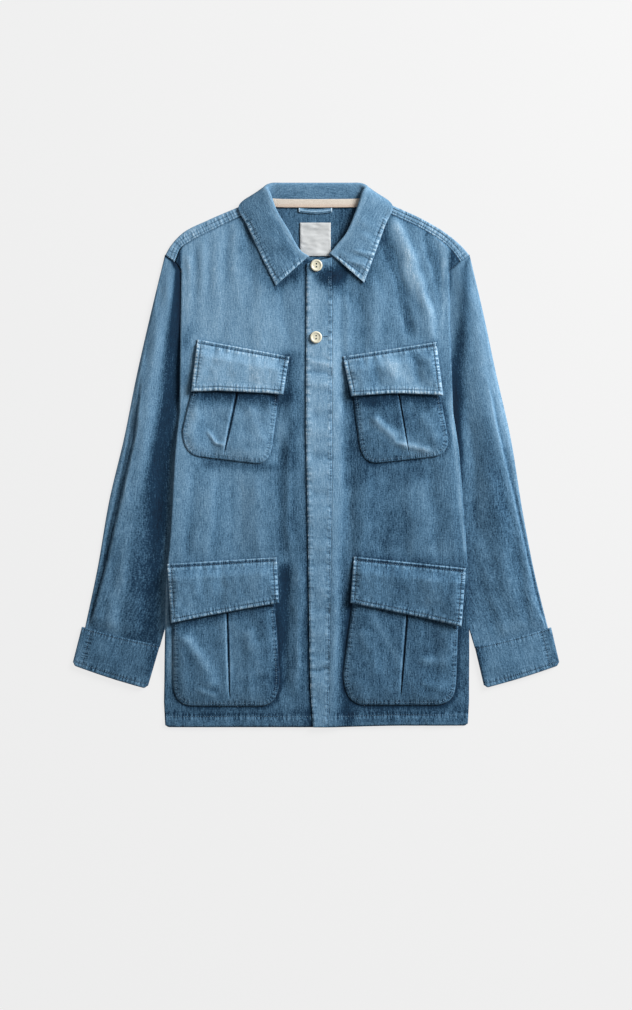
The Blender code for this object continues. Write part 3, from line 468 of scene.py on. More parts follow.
# the body: side edge from hem to shoulder tip as y, x at the viewer's left, x at the right
body = {
    "grid": (118, 236),
    "backRows": 190,
    "hemY": -408.0,
    "hemRise": 2.4,              # the wearer's left half lies a little higher
    "hemDepth": 16.0,
    "pitY": 64.0,
    "tipY": 289.5,
    "wall": 1.2,
    "gap": 1.8,
    "sideGap": 0.45,
    "armholeGap": 1.0,
    "sleeveLift": 4.3,
    "liftRun": 64.0,
    "neckLift": 2.4,
    "puff": (4.6, 1.4),          # how far the lying sides stand up over the sleeves, left and right
    "puffRun": 52.0,
    "foldGain": 1.4,
    "foldTone": 0.055,
    "wornTone": 0.1,             # ridges worn pale
    "neckShade": -0.38,           # painted shade inside the neck
    "edge": (
        (-408, -226, 227.5), (-370, -228, 229.5), (-292, -226.5, 229.5), (-193, -224.5, 229),
        (-112, -217.5, 223.5), (4, -211, 214.5), (64, -204.6, 205.6), (202, -203, 200.6),
        (277, -202, 200.5), (289.5, -212.4, 216), (299.4, -226, 229.8),
    ),
    "folds": (
        # wearer's right front, chest
        (-192, 300, -196, 178, 1.3, 8, 0.2), (-181, 316, -180, 222, -0.45, 6),
        (-171, 320, -170, 240, 0.45, 6), (-159, 322, -157, 250, -0.35, 6),
        (-148, 328, -147, 180, 0.6, 9, 0.2), (-133, 336, -131, 262, -0.4, 6),
        (-122, 343, -117, 222, 0.6, 9, -0.2), (-104, 345, -92, 240, -0.8, 9),
        (-81, 262, -82, 157, 1, 15, 0.2), (-52, 268, -37, 172, -0.8, 10),
        # wearer's right front, waist
        (-207, -22, -216, -157, 1.2, 9), (-180, -22, -189, -150, -1.1, 10),
        (-153, -37, -162, -150, 1.4, 13, 0.3), (-120, -34, -117, -145, -1.1, 12),
        (-91, -37, -81, -150, 1.3, 13, -0.2), (-57, 22, -46, -157, -1.1, 10),
        (-39, 92, -42, -137, 1, 8, 0.2), (-28, -160, -26, -350, 1.5, 8), (-46, -170, -45, -350, -1.3, 7),
        # wearer's left front, chest
        (112, 362, 145, 285, 2.3, 10, 0.3), (145, 285, 175, 178, 2.3, 10, 0.3),
        (106, 318, 143, 180, -1.8, 9), (168, 334, 191, 222, -1.7, 8), (168, 322, 183, 250, -1.1, 6),
        (197, 290, 198, 178, 1, 7), (84, 272, 88, 160, 1, 12, 0.2), (66, 240, 69, 152, -0.9, 9),
        (44, 246, 45, 152, 0.9, 7),
        # wearer's left front, waist
        (35, 82, 39, -140, 0.9, 8), (49, 30, 52, -157, -1.1, 9), (75, -30, 66, -150, 1.3, 12, 0.2),
        (108, -30, 102, -150, -1, 12), (141, -30, 153, -150, 1.4, 13, -0.3),
        (174, -22, 186, -157, -1.1, 10), (204, 22, 214, -150, 1.1, 8), (32, -175, 29, -350, 0.8, 8),
    ),
    # painted light and shade, laid like the folds but as changes of tone
    "shades": (
        (-40, 155, -41, -20, -0.38, 14), (-40, 10, -44, -145, -0.13, 15),
        (-48, -165, -58, -350, -0.34, 8.5), (-86, 262, -52, 250, -0.16, 9), (-170, -16, -60, -19, -0.22, 7),
        (60, -26, 165, -30, -0.11, 13), (-190, 92, -192, 6, 0.2, 9), (-114, -35, -113, -140, 0.14, 8),
        (-152, -50, -150, -140, -0.09, 8), (150, -45, 190, -150, 0.14, 14), (49, -50, 53, -190, 0.18, 8),
        (46, 100, 48, 0, -0.11, 9), (217, -280, 219, -370, 0.12, 9), (10, 274, 40, 262, -0.66, 17),
        (16, 238, 16, 175, -0.17, 13), (-105, 320, -100, 190, -0.05, 45), (40, 232, 40, 180, -0.1, 10),
        (114, 350, 131, 307, 0.28, 8), (131, 307, 147, 250, 0.26, 8.5), (147, 250, 161, 228, 0.16, 7),
        (172, 240, 186, 165, 0.13, 7), (192, 300, 190, 190, 0.22, 4), (202, 308, 202, 240, -0.4, 2.6),
        (-205, 310, -205, 262, -0.5, 3.5), (-14, 276, 12, 268, -0.35, 11), (0, 262, 48, 244, -0.38, 13),
        (-195, 195, -196, 105, -0.24, 9), (-118, 330, -112, 300, -0.12, 7), (96, 314, 90, 284, 0.16, 9),
        (60, -388, 205, -386, 0.1, 7), (70, -45, 100, -47, -0.12, 10), (-190, -20, -150, -50, -0.1, 10),
        (104, 318, 138, 190, -0.08, 8), (172, 330, 200, 300, 0.15, 9), (-65, -20, -62, -140, -0.12, 20),
        (-78, -240, -75, -345, -0.1, 16), (0, 0, 60, -8, -0.1, 8), (80, -140, 210, -146, 0.12, 10),
        (-225, -150, -226, -262, 0.55, 6), (-216, -265, -216, -350, 0.32, 5),
        (201, 92, 223, -150, 0.28, 3.5), (-42, 262, -22, 272, -0.25, 8), (-72, -352, -58, -366, -0.16, 11),
        # chest pockets
        (-172, 60, -180, 20, -0.12, 12), (-130, 5, -75, 0, 0.12, 8), (163, 165, 186, 127, -0.12, 8),
        (81, 45, 171, 0, 0.18, 9), (70, 78, 150, 58, -0.1, 9), (-172, 162, -125, 156, -0.12, 8),
        (-98, 135, -94, 102, 0.14, 10), (96, 142, 156, 97, 0.2, 12), (134, 157, 193, 105, -0.18, 9),
        (58, 150, 82, 100, -0.12, 9), (42, 132, 54, 92, 0.12, 7), (110, 18, 190, 2, 0.12, 9),
        (100, 60, 140, 38, -0.12, 10), (100, 96, 185, 93, 0.12, 5), (-60, 125, -52, 100, 0.12, 8),
        # hip pockets
        (-140, -240, -105, -330, 0.08, 16), (-196, -165, -168, -232, -0.12, 8),
        (-144, -172, -134, -225, 0.1, 10), (-201, -278, -137, -368, -0.12, 7),
        (-134, -248, -125, -345, 0.12, 10), (96, -160, 126, -176, -0.12, 7), (66, -240, 96, -338, -0.08, 9),
        (81, -233, 134, -322, 0.14, 7), (156, -338, 201, -360, -0.1, 7),
    ),
}

# sleeves by side, -1 at the viewer's left; they lie flat, their inner side tucked under the body
sleeve = {
    "wall": 1.2,
    "edge": 3.4,
    "fullness": 4.2,
    "tuck": 5.0,                 # how far under the body its inner edge starts
    "rings": (96, 120),          # to the underarm and from there to the cuff
    "across": (58, 22),          # points over the top and under
    # edges in plan, from the shoulder tip and from the underarm to the cuff
    "outer": {
        -1: (
            (-226, 299.4), (-249, 207), (-269.4, 117), (-287.4, 27), (-309.8, -67.5), (-327.8, -171),
            (-346, -254.5),
        ),
        1: (
            (229.8, 299.4), (253, 202.5), (269.6, 124), (291.6, 27), (309.9, -85.5), (328.2, -180),
            (349, -255.5),
        ),
    },
    "inner": {
        -1: (
            (-206, 64), (-211.5, 30), (-203, -22.5), (-187, -97.5), (-200, -202.5), (-226, -259.5),
            (-233.5, -283),
        ),
        1: (
            (207.2, 64), (214, 30), (206, -22.5), (190, -97.5), (203, -202.5), (229, -259.5), (237.5, -285),
        ),
    },
    # the long crease where a sleeve folds back on itself
    "crease": {
        -1: ((-262, 112), (-271.5, 27), (-316.5, -171), (-340, -258)),
        1: ((258, 112), (272.5, 40), (298, -67), (318, -157), (334, -225), (344, -258)),
    },
    "folds": {
        -1: (
            (-262, 150, -270, 40, 1.5, 9, 0.3), (-270, 40, -309, -160, 1.7, 9, 0.3),
            (-309, -160, -331, -250, 1.5, 8, 0.2), (-270, 97, -279, 27, -1.3, 3.6),
            (-279, 27, -323, -171, -1.7, 3.2), (-323, -171, -344, -250, -1.9, 2.8),
            (-240, 240, -252, 90, 1.3, 8, 0.2), (-226, 250, -231, 120, -1, 7),
            (-249, 82, -284, -80, 1.2, 11, 0.2), (-229, 7, -252, -170, -1.1, 10),
            (-284, -110, -300, -240, 1.1, 10), (-304, -205, -312, -268, 1.2, 7),
            (-290, -215, -296, -272, -1, 6), (-268, -210, -274, -278, 1.1, 8, 0.2),
            (-252, -205, -256, -278, -0.9, 7),
        ),
        1: (
            (261, 140, 284, -20, 1.3, 8, -0.2), (268, 80, 299, -60, -1.1, 3.4),
            (299, -60, 338, -240, -1.4, 3), (290, -60, 328, -240, 1.4, 8, -0.2),
            (240, 240, 254, 130, 1.4, 9, -0.2), (254, 130, 277, 0, 1.3, 9), (228, 236, 236, 120, -1.1, 7),
            (225, 60, 242, -127, -1.3, 9), (259, -22, 291, -217, 1.4, 11, 0.2),
            (280, -37, 317, -217, -1.1, 8), (244, -120, 262, -230, 1, 9), (274, -217, 283, -279, 1.1, 7),
            (306, -202, 320, -266, -1, 6), (229, -246, 252, -270, 1.1, 4.5),
            (256, -222, 266, -276, -0.9, 6),
        ),
    },
    # y, and there the edge of the body's shade as a share of the width, and its depth
    "shadeEdge": ((-240, -100, -60, 60, 170, 262), (0.18, 0.31, 0.46, 0.42, 0.37, 0.3)),
    "shadeDepth": ((-220, -140, -80, 60, 140, 210), (0.12, 0.17, 0.32, 0.47, 0.48, 0.65)),
    # y, and there the middle of the painted shade of the slack hollow, the depth of that shade and its width
    "hollowLine": ((34, 80, 124, 170, 214, 275), (0.0, 0.04, 0.08, 0.26, 0.42, 0.66)),
    "hollowDepth": ((-60, -10, 34, 80, 124, 214, 275), (0.1, 0.42, 0.74, 0.74, 0.5, 0.32, 0.3)),
    "hollowWidth": ((0, 34, 80, 124, 170, 275), (0.09, 0.1, 0.16, 0.2, 0.18, 0.17)),
}


def bodyEdge(y, side):
    rows = np.asarray(body["edge"])
    return np.interp(y, rows[:, 0], rows[:, 1 if side < 0 else 2])


def bodyEdgeUpTo(topY, side, stations):
    y = body["hemY"] + np.asarray(stations) * (topY - body["hemY"])
    return paired(bodyEdge(y, side), y)


def bodyCorner(side):
    return bodyEdge(body["hemY"], side), body["hemY"]


def sideDistance(x, y):
    return np.where(x < 0, -bodyEdge(y, -1), bodyEdge(y, 1)) - np.abs(x)


# height of what lies under the back: the sleeves at the sides and the collar at the neck
def groundTop(x, y):
    hidden = [np.abs(crossing(sleeve["inner"][side], y)) for side in (-1, 1)]
    reach = np.where(x < 0, *hidden) - 4.0
    across = smooth((np.abs(x) - reach + body["liftRun"]) / body["liftRun"])
    along = smooth((body["pitY"] - y) / 45.0) * smooth((y + 352.0) / 60.0)
    neck = smooth((y - 318.0) / 50.0) * smooth((85.0 - np.abs(x)) / 35.0)
    puff = np.where(x < 0, *body["puff"]) * smooth(1.0 - sideDistance(x, y) / body["puffRun"])
    puff = puff * smooth((y + 335.0) / 110.0) * smooth((215.0 - y) / 90.0)
    return body["sleeveLift"] * across * along + body["neckLift"] * neck + puff


def frontTop(x, y):
    x, y = np.asarray(x, float), np.asarray(y, float)
    inside = smooth(sideDistance(x, y) / 30.0)
    atEdge = body["sideGap"] + (body["armholeGap"] - body["sideGap"]) * smooth((y - 44.0) / 45.0)
    atNeck = 0.8 * smooth((y - 225.0) / 50.0) * smooth((100.0 - np.abs(x)) / 40.0)
    rumple = 0.3 * noise(x, y * 0.35, 24.0, 5) + 0.22 * noise(x, y * 0.25, 10.0, 6)
    lie = body["gap"] - atEdge + body["foldGain"] * creases(x, y, body["folds"]) + rumple
    gap = np.maximum(atEdge + lie * inside + atNeck, 0.2)
    return groundTop(x, y) + 2.0 * body["wall"] + gap


def edgeRoll(x, y):
    return 0.8 * fade(sideDistance(x, y), 2.6)


# the turned hem: thicker below its line of stitches, with small upright puckers
def hemAt(x):
    return body["hemY"] + body["hemRise"] * smooth((x - 10.0) / 120.0)


def hemForm(x, y):
    above = y - hemAt(x)
    band = smooth((body["hemDepth"] + 1.5 - above) / 3.0)
    puckers = 0.55 * noise(x, above * 0.35, 6.5, 8) + 0.36 * noise(x, above * 0.2, 13.0, 9)
    return band * (0.6 + puckers) - 0.7 * fade(above, 2.6) - 0.35 * bell(above - body["hemDepth"], 1.3)


# a light rim over a dark line where the hem is sewn
def hemTone(x, y):
    above = y - hemAt(x) - body["hemDepth"]
    onLeft = smooth((x - 20.0) / 60.0)
    line = 0.07 * noise(x, y * 0.25, 6.5, 8) + 0.14 * onLeft * smooth((-9.0 - above) / 5.0)
    line = line * smooth((1.0 - above) / 3.0) + 0.16 * bell(above - 1.2, 0.8) - 0.16 * bell(above - 3.6, 1.6)
    return line - (0.1 - 0.09 * onLeft) * smooth((22.0 - above) / 16.0)


# rounds the lower corner of a side edge
def hemCorner(plan):
    x, y = apart(plan)
    near = fade(sideDistance(x, y), 7.0)
    low = fade(y - body["hemY"], 8.0)
    rise = (hemAt(x) - body["hemY"]) * fade(y - body["hemY"], 60.0)
    return plan + paired(0.0, rise + 3.0 * near ** 2 * low)


def hemLine(start=-227.0, end=229.0):
    x = np.linspace(start, end, 40)
    return paired(x, hemAt(x) + body["hemDepth"])


# the chest's folds are paler on their ridges and darker between them: partly wear, partly painted light and
# shade
def foldTone(x, y):
    return body["foldTone"] * creases(x, y, body["folds"]) * (0.4 + 0.6 * smooth((y - 110.0) / 60.0))


def bodyTone(x, y):
    down = 0.05 * smooth((y - 20.0) / 200.0) - 0.22 * smooth((70.0 - y) / 300.0)
    return 0.01 + down - 0.18 * smooth((x - 8.0) / 60.0) + creases(x, y, body["shades"], 61, 24.0)


def sleeveTone(x, y):
    return -0.06 - 0.19 * smooth((150.0 - y) / 330.0) - 0.03 * np.tanh(-x / 60.0) * smooth((60.0 - y) / 150.0)


# painted light and shade: one sleeve lies in the body's shade, the other has the shade of a slack hollow from
# its head to the underarm, and both have a paler outer rim and painted light along their outer parts
def sleeveShade(side, share, y):
    rim = (0.105 - 0.03 * side) * bell(1.0 - share, 0.07)
    tables = ("shadeEdge", "shadeDepth") if side < 0 else ("hollowLine", "hollowDepth", "hollowWidth")
    place, deep, *wide = (np.interp(y, *sleeve[key]) for key in tables)
    if side < 0:
        deep = deep * smooth(share / 0.2 + 0.3 + 0.7 * smooth((y - 60.0) / 60.0))
        deep = deep + 0.22 * bell(share, 0.08) * smooth((y - 150.0) / 60.0)
        tone = rim - 0.025 - deep * (1.0 - smooth((share - place) / 0.24 + 0.5))
        tone = tone - 0.11 * (1.0 - smooth((share - 0.57) / 0.14 + 0.5)) * smooth((-40.0 - y) / 70.0)
        tone = tone + 0.4 * bell(share, 0.09) * smooth((120.0 - y) / 200.0)
        return tone + (0.08 + 0.09 * smooth((20.0 - y) / 80.0)) * bell(share - 0.66, 0.14)
    trough = bell(share - 0.56, 0.17) * smooth((110.0 - y) / 110.0) * smooth((y + 150.0) / 50.0)
    tone = rim - 0.03 - deep * bell(share - place, wide[0]) - 0.2 * trough
    tone = tone + 0.1 * smooth((share - 0.58) / 0.16) * smooth((y + 30.0) / 70.0)
    tone = tone - 0.35 * bell(share, 0.1) * smooth((y - 235.0) / 20.0)
    return tone + 0.1 * smooth((-235.0 - y) / 40.0)


# the cloth round a pocket lies in its shade
def pocketShade(plan):
    tone = np.zeros(plan.shape[:-1])
    for sizes in pockets.values():
        topLeft, low, topRight = flapEdge(sizes)
        away = seamField(plan, [bagOutline(sizes)])[0]
        tone = tone + shade(away, 8.0, 0.2) + shade(away, 30.0, 0.06)
        away = seamField(plan, [np.vstack([topRight, topLeft, low[0]])])[0]
        tone = tone + shade(away, 4.0, 0.12)
    return tone


# the cloth beside the collar's leaves lies in their shade
def collarShade(plan):
    leafEdge = collarRows(4)[:, 6:8]
    ends = [collarRows(1)[place, [3, 4]] for place in (0, -1)]
    away = seamField(plan, [np.vstack([ends[0], leafEdge, ends[1]])])[0]
    return (shade(away, 17.0, 0.18) + shade(away, 44.0, 0.13)) * smooth((400.0 - plan[..., 1]) / 20.0)


# painted shade: a dark line under the shoulder strip, and the sleeve head's shade beside the armhole
def shoulderShade(plan):
    x, y = apart(plan)
    away = seamField(plan, [curve(shoulder[key], shares(40)) for key in ("seamLeft", "seamRight")])[0]
    head = smooth((np.abs(x) - 199.0) / 6.0) * smooth((y - 270.0) / 12.0)
    return shade(away, 3.6, 0.3) - 0.3 * head


# collar sections from the wearer's right front end round the back to the left front end:
# seam x, y, z; roll x, y, z; leaf edge x, y, z; radius of the roll
collar = {
    "wall": 1.8,
    "seamGap": 0.9,
    "neckCentre": (0.0, 345.0),
    "steepY": 308.0,
    "stitchIn": 6.0,
    "steps": 13,                 # points from one section to the next
    "endColumn": 12,             # of the leaf, where the distance from its ends is measured
    "sweeps": 6,                 # rounds that even out its inner face
    "sharp": 55.0,
    "wrinkles": (
        (58, 304, 92, 296, 1.1, 3.4), (58, 297, 90, 290, -0.9, 3), (46, 290, 80, 281, 1.1, 3.4),
        (50, 283, 78, 275, -0.8, 3), (66, 330, 84, 322, 0.9, 5), (60, 352, 92, 340, 0.9, 7),
        (-92, 318, -60, 330, 0.7, 7), (-84, 296, -50, 310, -0.7, 8), (-74, 276, -48, 288, 0.6, 6),
    ),
    # painted light and shade on the leaves, laid like the wrinkles
    "shades": ((-55, 352, -30, 290, -0.1, 10), (74, 372, 96, 330, -0.06, 9), (26, 312, 56, 352, 0.1, 8)),
    "sections": (
        (-11.5, 293, 3.4, -9.6, 297, 6.3, -60, 253.5, 8, 2.6),
        (-28.5, 301, 3.4, -24.6, 308.1, 7.6, -73.5, 280.5, 8, 3),
        (-52, 320, 3.2, -40.5, 336, 9.6, -88, 310.5, 7.8, 3.5),
        (-70, 347, 2.6, -58.5, 366, 12, -103.5, 343.5, 7.8, 4),
        (-77.5, 377, 2.2, -68, 391.5, 13, -116.2, 371, 7.6, 4.4),
        (-74, 382.5, 4.4, -72.5, 401, 11, -96, 389.5, 3.4, 4.4),
        (-64, 380.5, 4.4, -66, 407.2, 7, -74, 393.5, 0.2, 4),
        (-48, 376, 4.6, -48, 407.9, 4.6, -48, 379, 0, 4),
        (0, 373.8, 4.8, 0, 407.9, 4.4, 0, 376.2, 0, 4),
        (48, 376.5, 4.6, 48, 407.9, 4.6, 48, 379.5, 0, 4),
        (64, 380.5, 4.4, 66, 407.2, 7, 74, 393.5, 0.2, 4),
        (74, 382.5, 4.4, 72.5, 401, 11, 96, 389.5, 3.4, 4.4),
        (77.5, 377, 2.2, 68, 391.5, 13, 115, 372, 7.6, 4.4),
        (71, 350, 2.6, 60.5, 367.5, 12, 105, 346.5, 7.8, 4),
        (54, 323, 3.2, 46, 334, 9.6, 94.5, 318, 7.8, 3.5),
        (36, 306.5, 3.4, 30, 313.5, 7.6, 84, 289.5, 8.2, 3),
        (21.5, 297.5, 3.4, 19.5, 301.5, 6.3, 72, 258, 8.4, 2.6),
    ),
}


def collarRows(steps):
    return curve(collar["sections"], shares(steps * (len(collar["sections"]) - 1) + 1), even=True)


def neckLine():
    neck = collarRows(2)[:, :2]
    steep = smooth((neck[:, 1:] - collar["steepY"]) / 40.0)
    return neck + unit(neck - collar["neckCentre"]) * (collar["seamGap"] + collar["wall"] * steep)


# shoulder: the fold over the top and the seam in front of it, from the sleeve to the neck
shoulder = {
    "foldLeft": (
        (-226, 299.4), (-219.8, 310.6), (-202.4, 330.5), (-160, 352.8), (-116.5, 371.5), (-81, 387),
    ),
    "foldRight": (
        (229.8, 299.4), (222.3, 308.4), (197.4, 330.5), (165.2, 350.4), (114.2, 374), (81, 388.5),
    ),
    "seamLeft": (
        (-212.4, 289.5), (-202.4, 311), (-187, 321.5), (-160, 335.4), (-116.5, 356.5), (-81, 372),
    ),
    "seamRight": (
        (216, 289.5), (203, 307), (185, 323), (165.2, 335.4), (115.3, 359.6), (81, 375),
    ),
    "stations": 76,
    "bendRows": 9,
    "stripRows": 9,
    "lines": (3.2, 8.5),        # stitch lines above the seam
    "rubbed": 0.14,
}

# edges of the fly band down the centre front
placket = {
    "wall": 2.2,
    "lay": 0.7,
    "columns": (0.0, 0.02, 0.05, *np.linspace(0.09, 1.0, 19)),      # closer at the free edge
    "rows": 330,
    "outer": (
        (-14.2, 286.5), (-15.3, 37.5), (-12.9, -81), (-11.4, -169.5), (-9.9, -288), (-8.4, -348),
        (-4.5, -408),
    ),
    "inner": ((24.0, 295.5), (24.0, 7.5), (22.5, -111.0), (21.0, -229.5), (19.5, -333.0), (18.0, -408.0)),
    "underlapX": 13.0,
    "hole": ((9.5, 177.0), (22.0, 177.6)),
    "holeGap": 0.9,              # from the buttonhole's middle to its stitches
    "slitGrid": (24, 5),
    "slitHalf": 0.75,
    "bumps": (                   # across the band
        (-12, 138, 24, 136, 0.7, 5), (-12, 123, 24, 123, -0.9, 6), (-12, 106, 24, 104, 0.8, 8),
        (-8, 61, 20, 59, -0.9, 10), (-10, 38, 22, 34, 0.9, 11), (-8, 1, 20, -1, -0.9, 9),
        (-10, -26, 22, -22, 0.9, 11), (-8, -56, 20, -59, -0.8, 9), (-10, -94, 22, -90, 0.8, 13),
        (-8, -136, 20, -140, 0.6, 10, -0.2), (-10, -168, 22, -163, -0.6, 8), (-6, -200, 20, -205, 0.9, 12),
        (-8, -234, 21, -229, -0.7, 7), (-6, -268, 20, -270, 0.8, 12), (-8, -302, 20, -298, -0.5, 6),
        (-8, -325, 19, -319, -0.9, 3), (-7, -340, 18, -344, 0.9, 10), (-5, -372, 17, -369, -0.6, 8),
    ),
}

# stitch lines gather here as they are laid on their cloth, a list of paths for each kind
stitchPaths = {}


# lays a line in plan on a piece's points and keeps it for the stitching
def sew(group, line, points, step=1.7):
    line = np.asarray(line, float)[:, :2]
    length = np.linalg.norm(np.diff(line, axis=0), axis=1).sum()
    line = straight(line, shares(max(int(length / step), 2)))
    flat = points.reshape(-1, 3)
    height = np.zeros(len(line))
    for place, spot in enumerate(line):
        away = np.hypot(flat[:, 0] - spot[0], flat[:, 1] - spot[1])
        near = np.argpartition(away, 4)[:4]
        weight = 1.0 / (away[near] + 0.05)
        height[place] = (flat[near, 2] * weight).sum() / weight.sum()
    stitchPaths.setdefault(group, []).append(raised(line, height))


def frontTone(plan, height):
    x, y = apart(plan)
    worn = body["wornTone"] * standing(height, 9) + foldTone(x, y)
    return bodyTone(x, y) + worn + hemTone(x, y) + pocketShade(plan) + collarShade(plan) + shoulderShade(plan)


def frontCloth(node, plan, height, tone, hemStart, hemEnd):
    gap, run = seamField(plan, [hemLine()])
    points = raised(plan, height)
    look = {"tone": tone, "seamGap": gap, "seamRun": run}
    sew("body", hemLine(hemStart, hemEnd), points)
    return settle(shell(node + "_cloth", points, body["wall"], plan, look, "up"), "chambray", [node])


def makeFronts():
    neck = neckLine()
    underlapLow = (placket["underlapX"], body["hemY"])
    underlapTop = (placket["underlapX"], neck[0, 1] - 3.0)
    seam = shoulder["seamLeft"]
    neckEdge = np.vstack([seam[-1], neck[7::-1], underlapTop])      # from the shoulder seam forward
    plan = hemCorner(patch(
        (bodyCorner(-1), underlapLow),
        partial(joined, partial(curve, seam), partial(evenRows, neckEdge)),
        partial(bodyEdgeUpTo, body["tipY"], -1),
        (underlapLow, underlapTop),
        *meshShares(*body["grid"]), 3.0,
    ))
    x, y = apart(plan)
    height = frontTop(x, y) + hemForm(x, y) - edgeRoll(x, y)
    toBand = crossing(placket["outer"], y) - x
    # painted shade beside the fly band, which lies over this front
    tone = frontTone(plan, height) + shade(toBand, 46.0, 0.15) + shade(toBand, 7.0, 0.14)
    right = frontCloth("front_right", plan, height, tone, -224.0, -9.0)

    centre = np.asarray(placket["inner"][::-1]) - (4.0, 0.0)
    centre[-1, 1] = neck[-1, 1] - 0.4
    seam = shoulder["seamRight"][::-1]
    last = (neck[-8] + seam[0]) / 2.0
    neckEdge = np.vstack([centre[-1], neck[-2:-9:-1], last, seam[0]])
    plan = hemCorner(patch(
        (centre[0], bodyCorner(1)),
        partial(joined, partial(evenRows, neckEdge), partial(curve, seam)),
        centre,
        partial(bodyEdgeUpTo, body["tipY"], 1),
        *meshShares(*body["grid"]), 3.0,
    ))
    x, y = apart(plan)
    fromBand = x - crossing(placket["inner"], y)
    step = (placket["lay"] + placket["wall"]) * smooth((44.0 - x) / 19.0) * smooth((285.0 - y) / 40.0)
    height = frontTop(x, y) + step + hemForm(x, y) - edgeRoll(x, y) - 1.6 * fade(fromBand + 1.6, 2.0)
    beside = 0.05 * smooth((18.0 - fromBand) / 10.0)
    beside = beside - 0.09 * bell(fromBand - 32.0, 13.0) * smooth((170.0 - y) / 60.0)
    beside = beside + 0.16 * smooth((x - 8.0) / 60.0) * smooth((20.0 - fromBand) / 12.0)
    left = frontCloth("front_left", plan, height, frontTone(plan, height) + beside, 20.0, 226.0)


# rows that carry the back over the shoulder fold to the seam in front of it
def shoulderWrap(fold, seam):
    stations = shares(shoulder["stations"])
    fold, seam = curve(fold, stations), curve(seam, stations)
    inward = unit(seam - fold)
    top = frontTop(seam[:, 0], seam[:, 1]) + 0.5
    radius = (top / 2.0)[:, None]
    run = runAlong(seam)
    rows = []
    for turn in np.radians(np.linspace(-90.0, 90.0, shoulder["bendRows"])):
        plan = fold + inward * radius * (1.0 - np.cos(turn))
        rows.append(np.concatenate([plan, radius * (1.0 + np.sin(turn))], axis=-1))
    start, end = rows[-1][:, :2], seam + inward * 0.3
    for share in shares(shoulder["stripRows"] + 1)[1:]:
        plan = start + (end - start) * share
        away = np.linalg.norm(seam - plan, axis=1)
        ribs = noise(run, np.full_like(run, 3.0), 3.4, 12) + 0.6 * noise(run, away, 9.0, 13)
        grooves = sum(bell(away - line, 1.1) for line in shoulder["lines"])
        height = top + 0.3 * ribs * smooth((12.5 - away) / 3.0) - 0.4 * grooves
        rows.append(raised(plan, height - 0.9 * smooth((1.4 - away) / 1.4)))
    return np.asarray(rows)


def makeBack():
    left = shoulderWrap(shoulder["foldLeft"], shoulder["seamLeft"])
    right = shoulderWrap(shoulder["foldRight"], shoulder["seamRight"])[:, ::-1]
    neck = straight(collarRows(2)[12:21, :2] - (0.0, 0.4), shares(30))      # behind the neck
    topRow = np.vstack([left[0, :, :2], neck, right[0, :, :2]])
    columns, wraps = len(topRow), shoulder["stations"]
    plan = hemCorner(patch(
        (bodyCorner(-1), bodyCorner(1)),
        partial(evenRows, topRow),
        partial(bodyEdgeUpTo, topRow[0, 1], -1),
        partial(bodyEdgeUpTo, topRow[-1, 1], 1),
        *meshShares(columns, body["backRows"]), 3.0,
    ))
    x, y = apart(plan)
    hollows = np.abs(creases(-x, y, body["folds"], 21)) * 0.4 + 0.3 * np.abs(noise(x, y, 30.0, 22))
    clear = smooth(sideDistance(x, y) / 30.0) * smooth((y + 400.0) / 30.0) * smooth((300.0 - y) / 40.0)
    under = raised(plan, groundTop(x, y) + np.minimum(hollows * clear, 0.9))
    over = np.repeat(under[-1:], len(left) - 1, axis=0)
    over[:, :wraps] = left[1:]
    over[:, -wraps:] = right[1:]
    points = np.concatenate([under, over])
    strip = slice(len(under), None)
    keep = np.ones((points.shape[0] - 1, columns - 1), bool)
    keep[len(under) - 1:, wraps - 1:columns - wraps] = False
    x, y = apart(points)
    tone = bodyTone(x, y) + 0.02
    # painted shade inside the neck
    tone = np.where((np.abs(x) < 85.0) & (y > 250.0), tone + body["neckShade"], tone)
    tone[strip] += 0.15 * smooth(x[strip] / 80.0)
    seams, ribs = [hemLine()], [hemLine()]
    for key in ("Left", "Right"):
        fold, seam = curve(shoulder["fold" + key], shares(40)), curve(shoulder["seam" + key], shares(40))
        seams += [seam + unit(fold - seam) * line for line in shoulder["lines"]]
        ribs.append(seam)
    gap = seamField(points[..., :2], seams)[0]
    run = seamField(points[..., :2], ribs)[1]          # ribs run right across the strip
    grain = points[..., :2].copy()
    grain[strip, :, 1] += np.arange(1, len(over) + 1)[:, None] * 1.5
    edge = np.zeros(tone.shape)
    edge[strip] = shoulder["rubbed"]
    look = {"tone": tone, "seamGap": gap, "seamRun": run, "edge": edge}
    back = shell("back_cloth", points, body["wall"], grain, look, "down", keep=keep)
    for number, line in enumerate(seams[1:]):
        strips = left if number < 2 else right
        sew("body", straight(line, np.linspace(0.02, 0.9, 40)), strips[shoulder["bendRows"]:])
    return settle(back, "chambray", ["back"])


def placketTop(x, y):
    return frontTop(x, y) + placket["lay"] + placket["wall"] + 1.5 * creases(x, y, placket["bumps"], 31, 14.0)


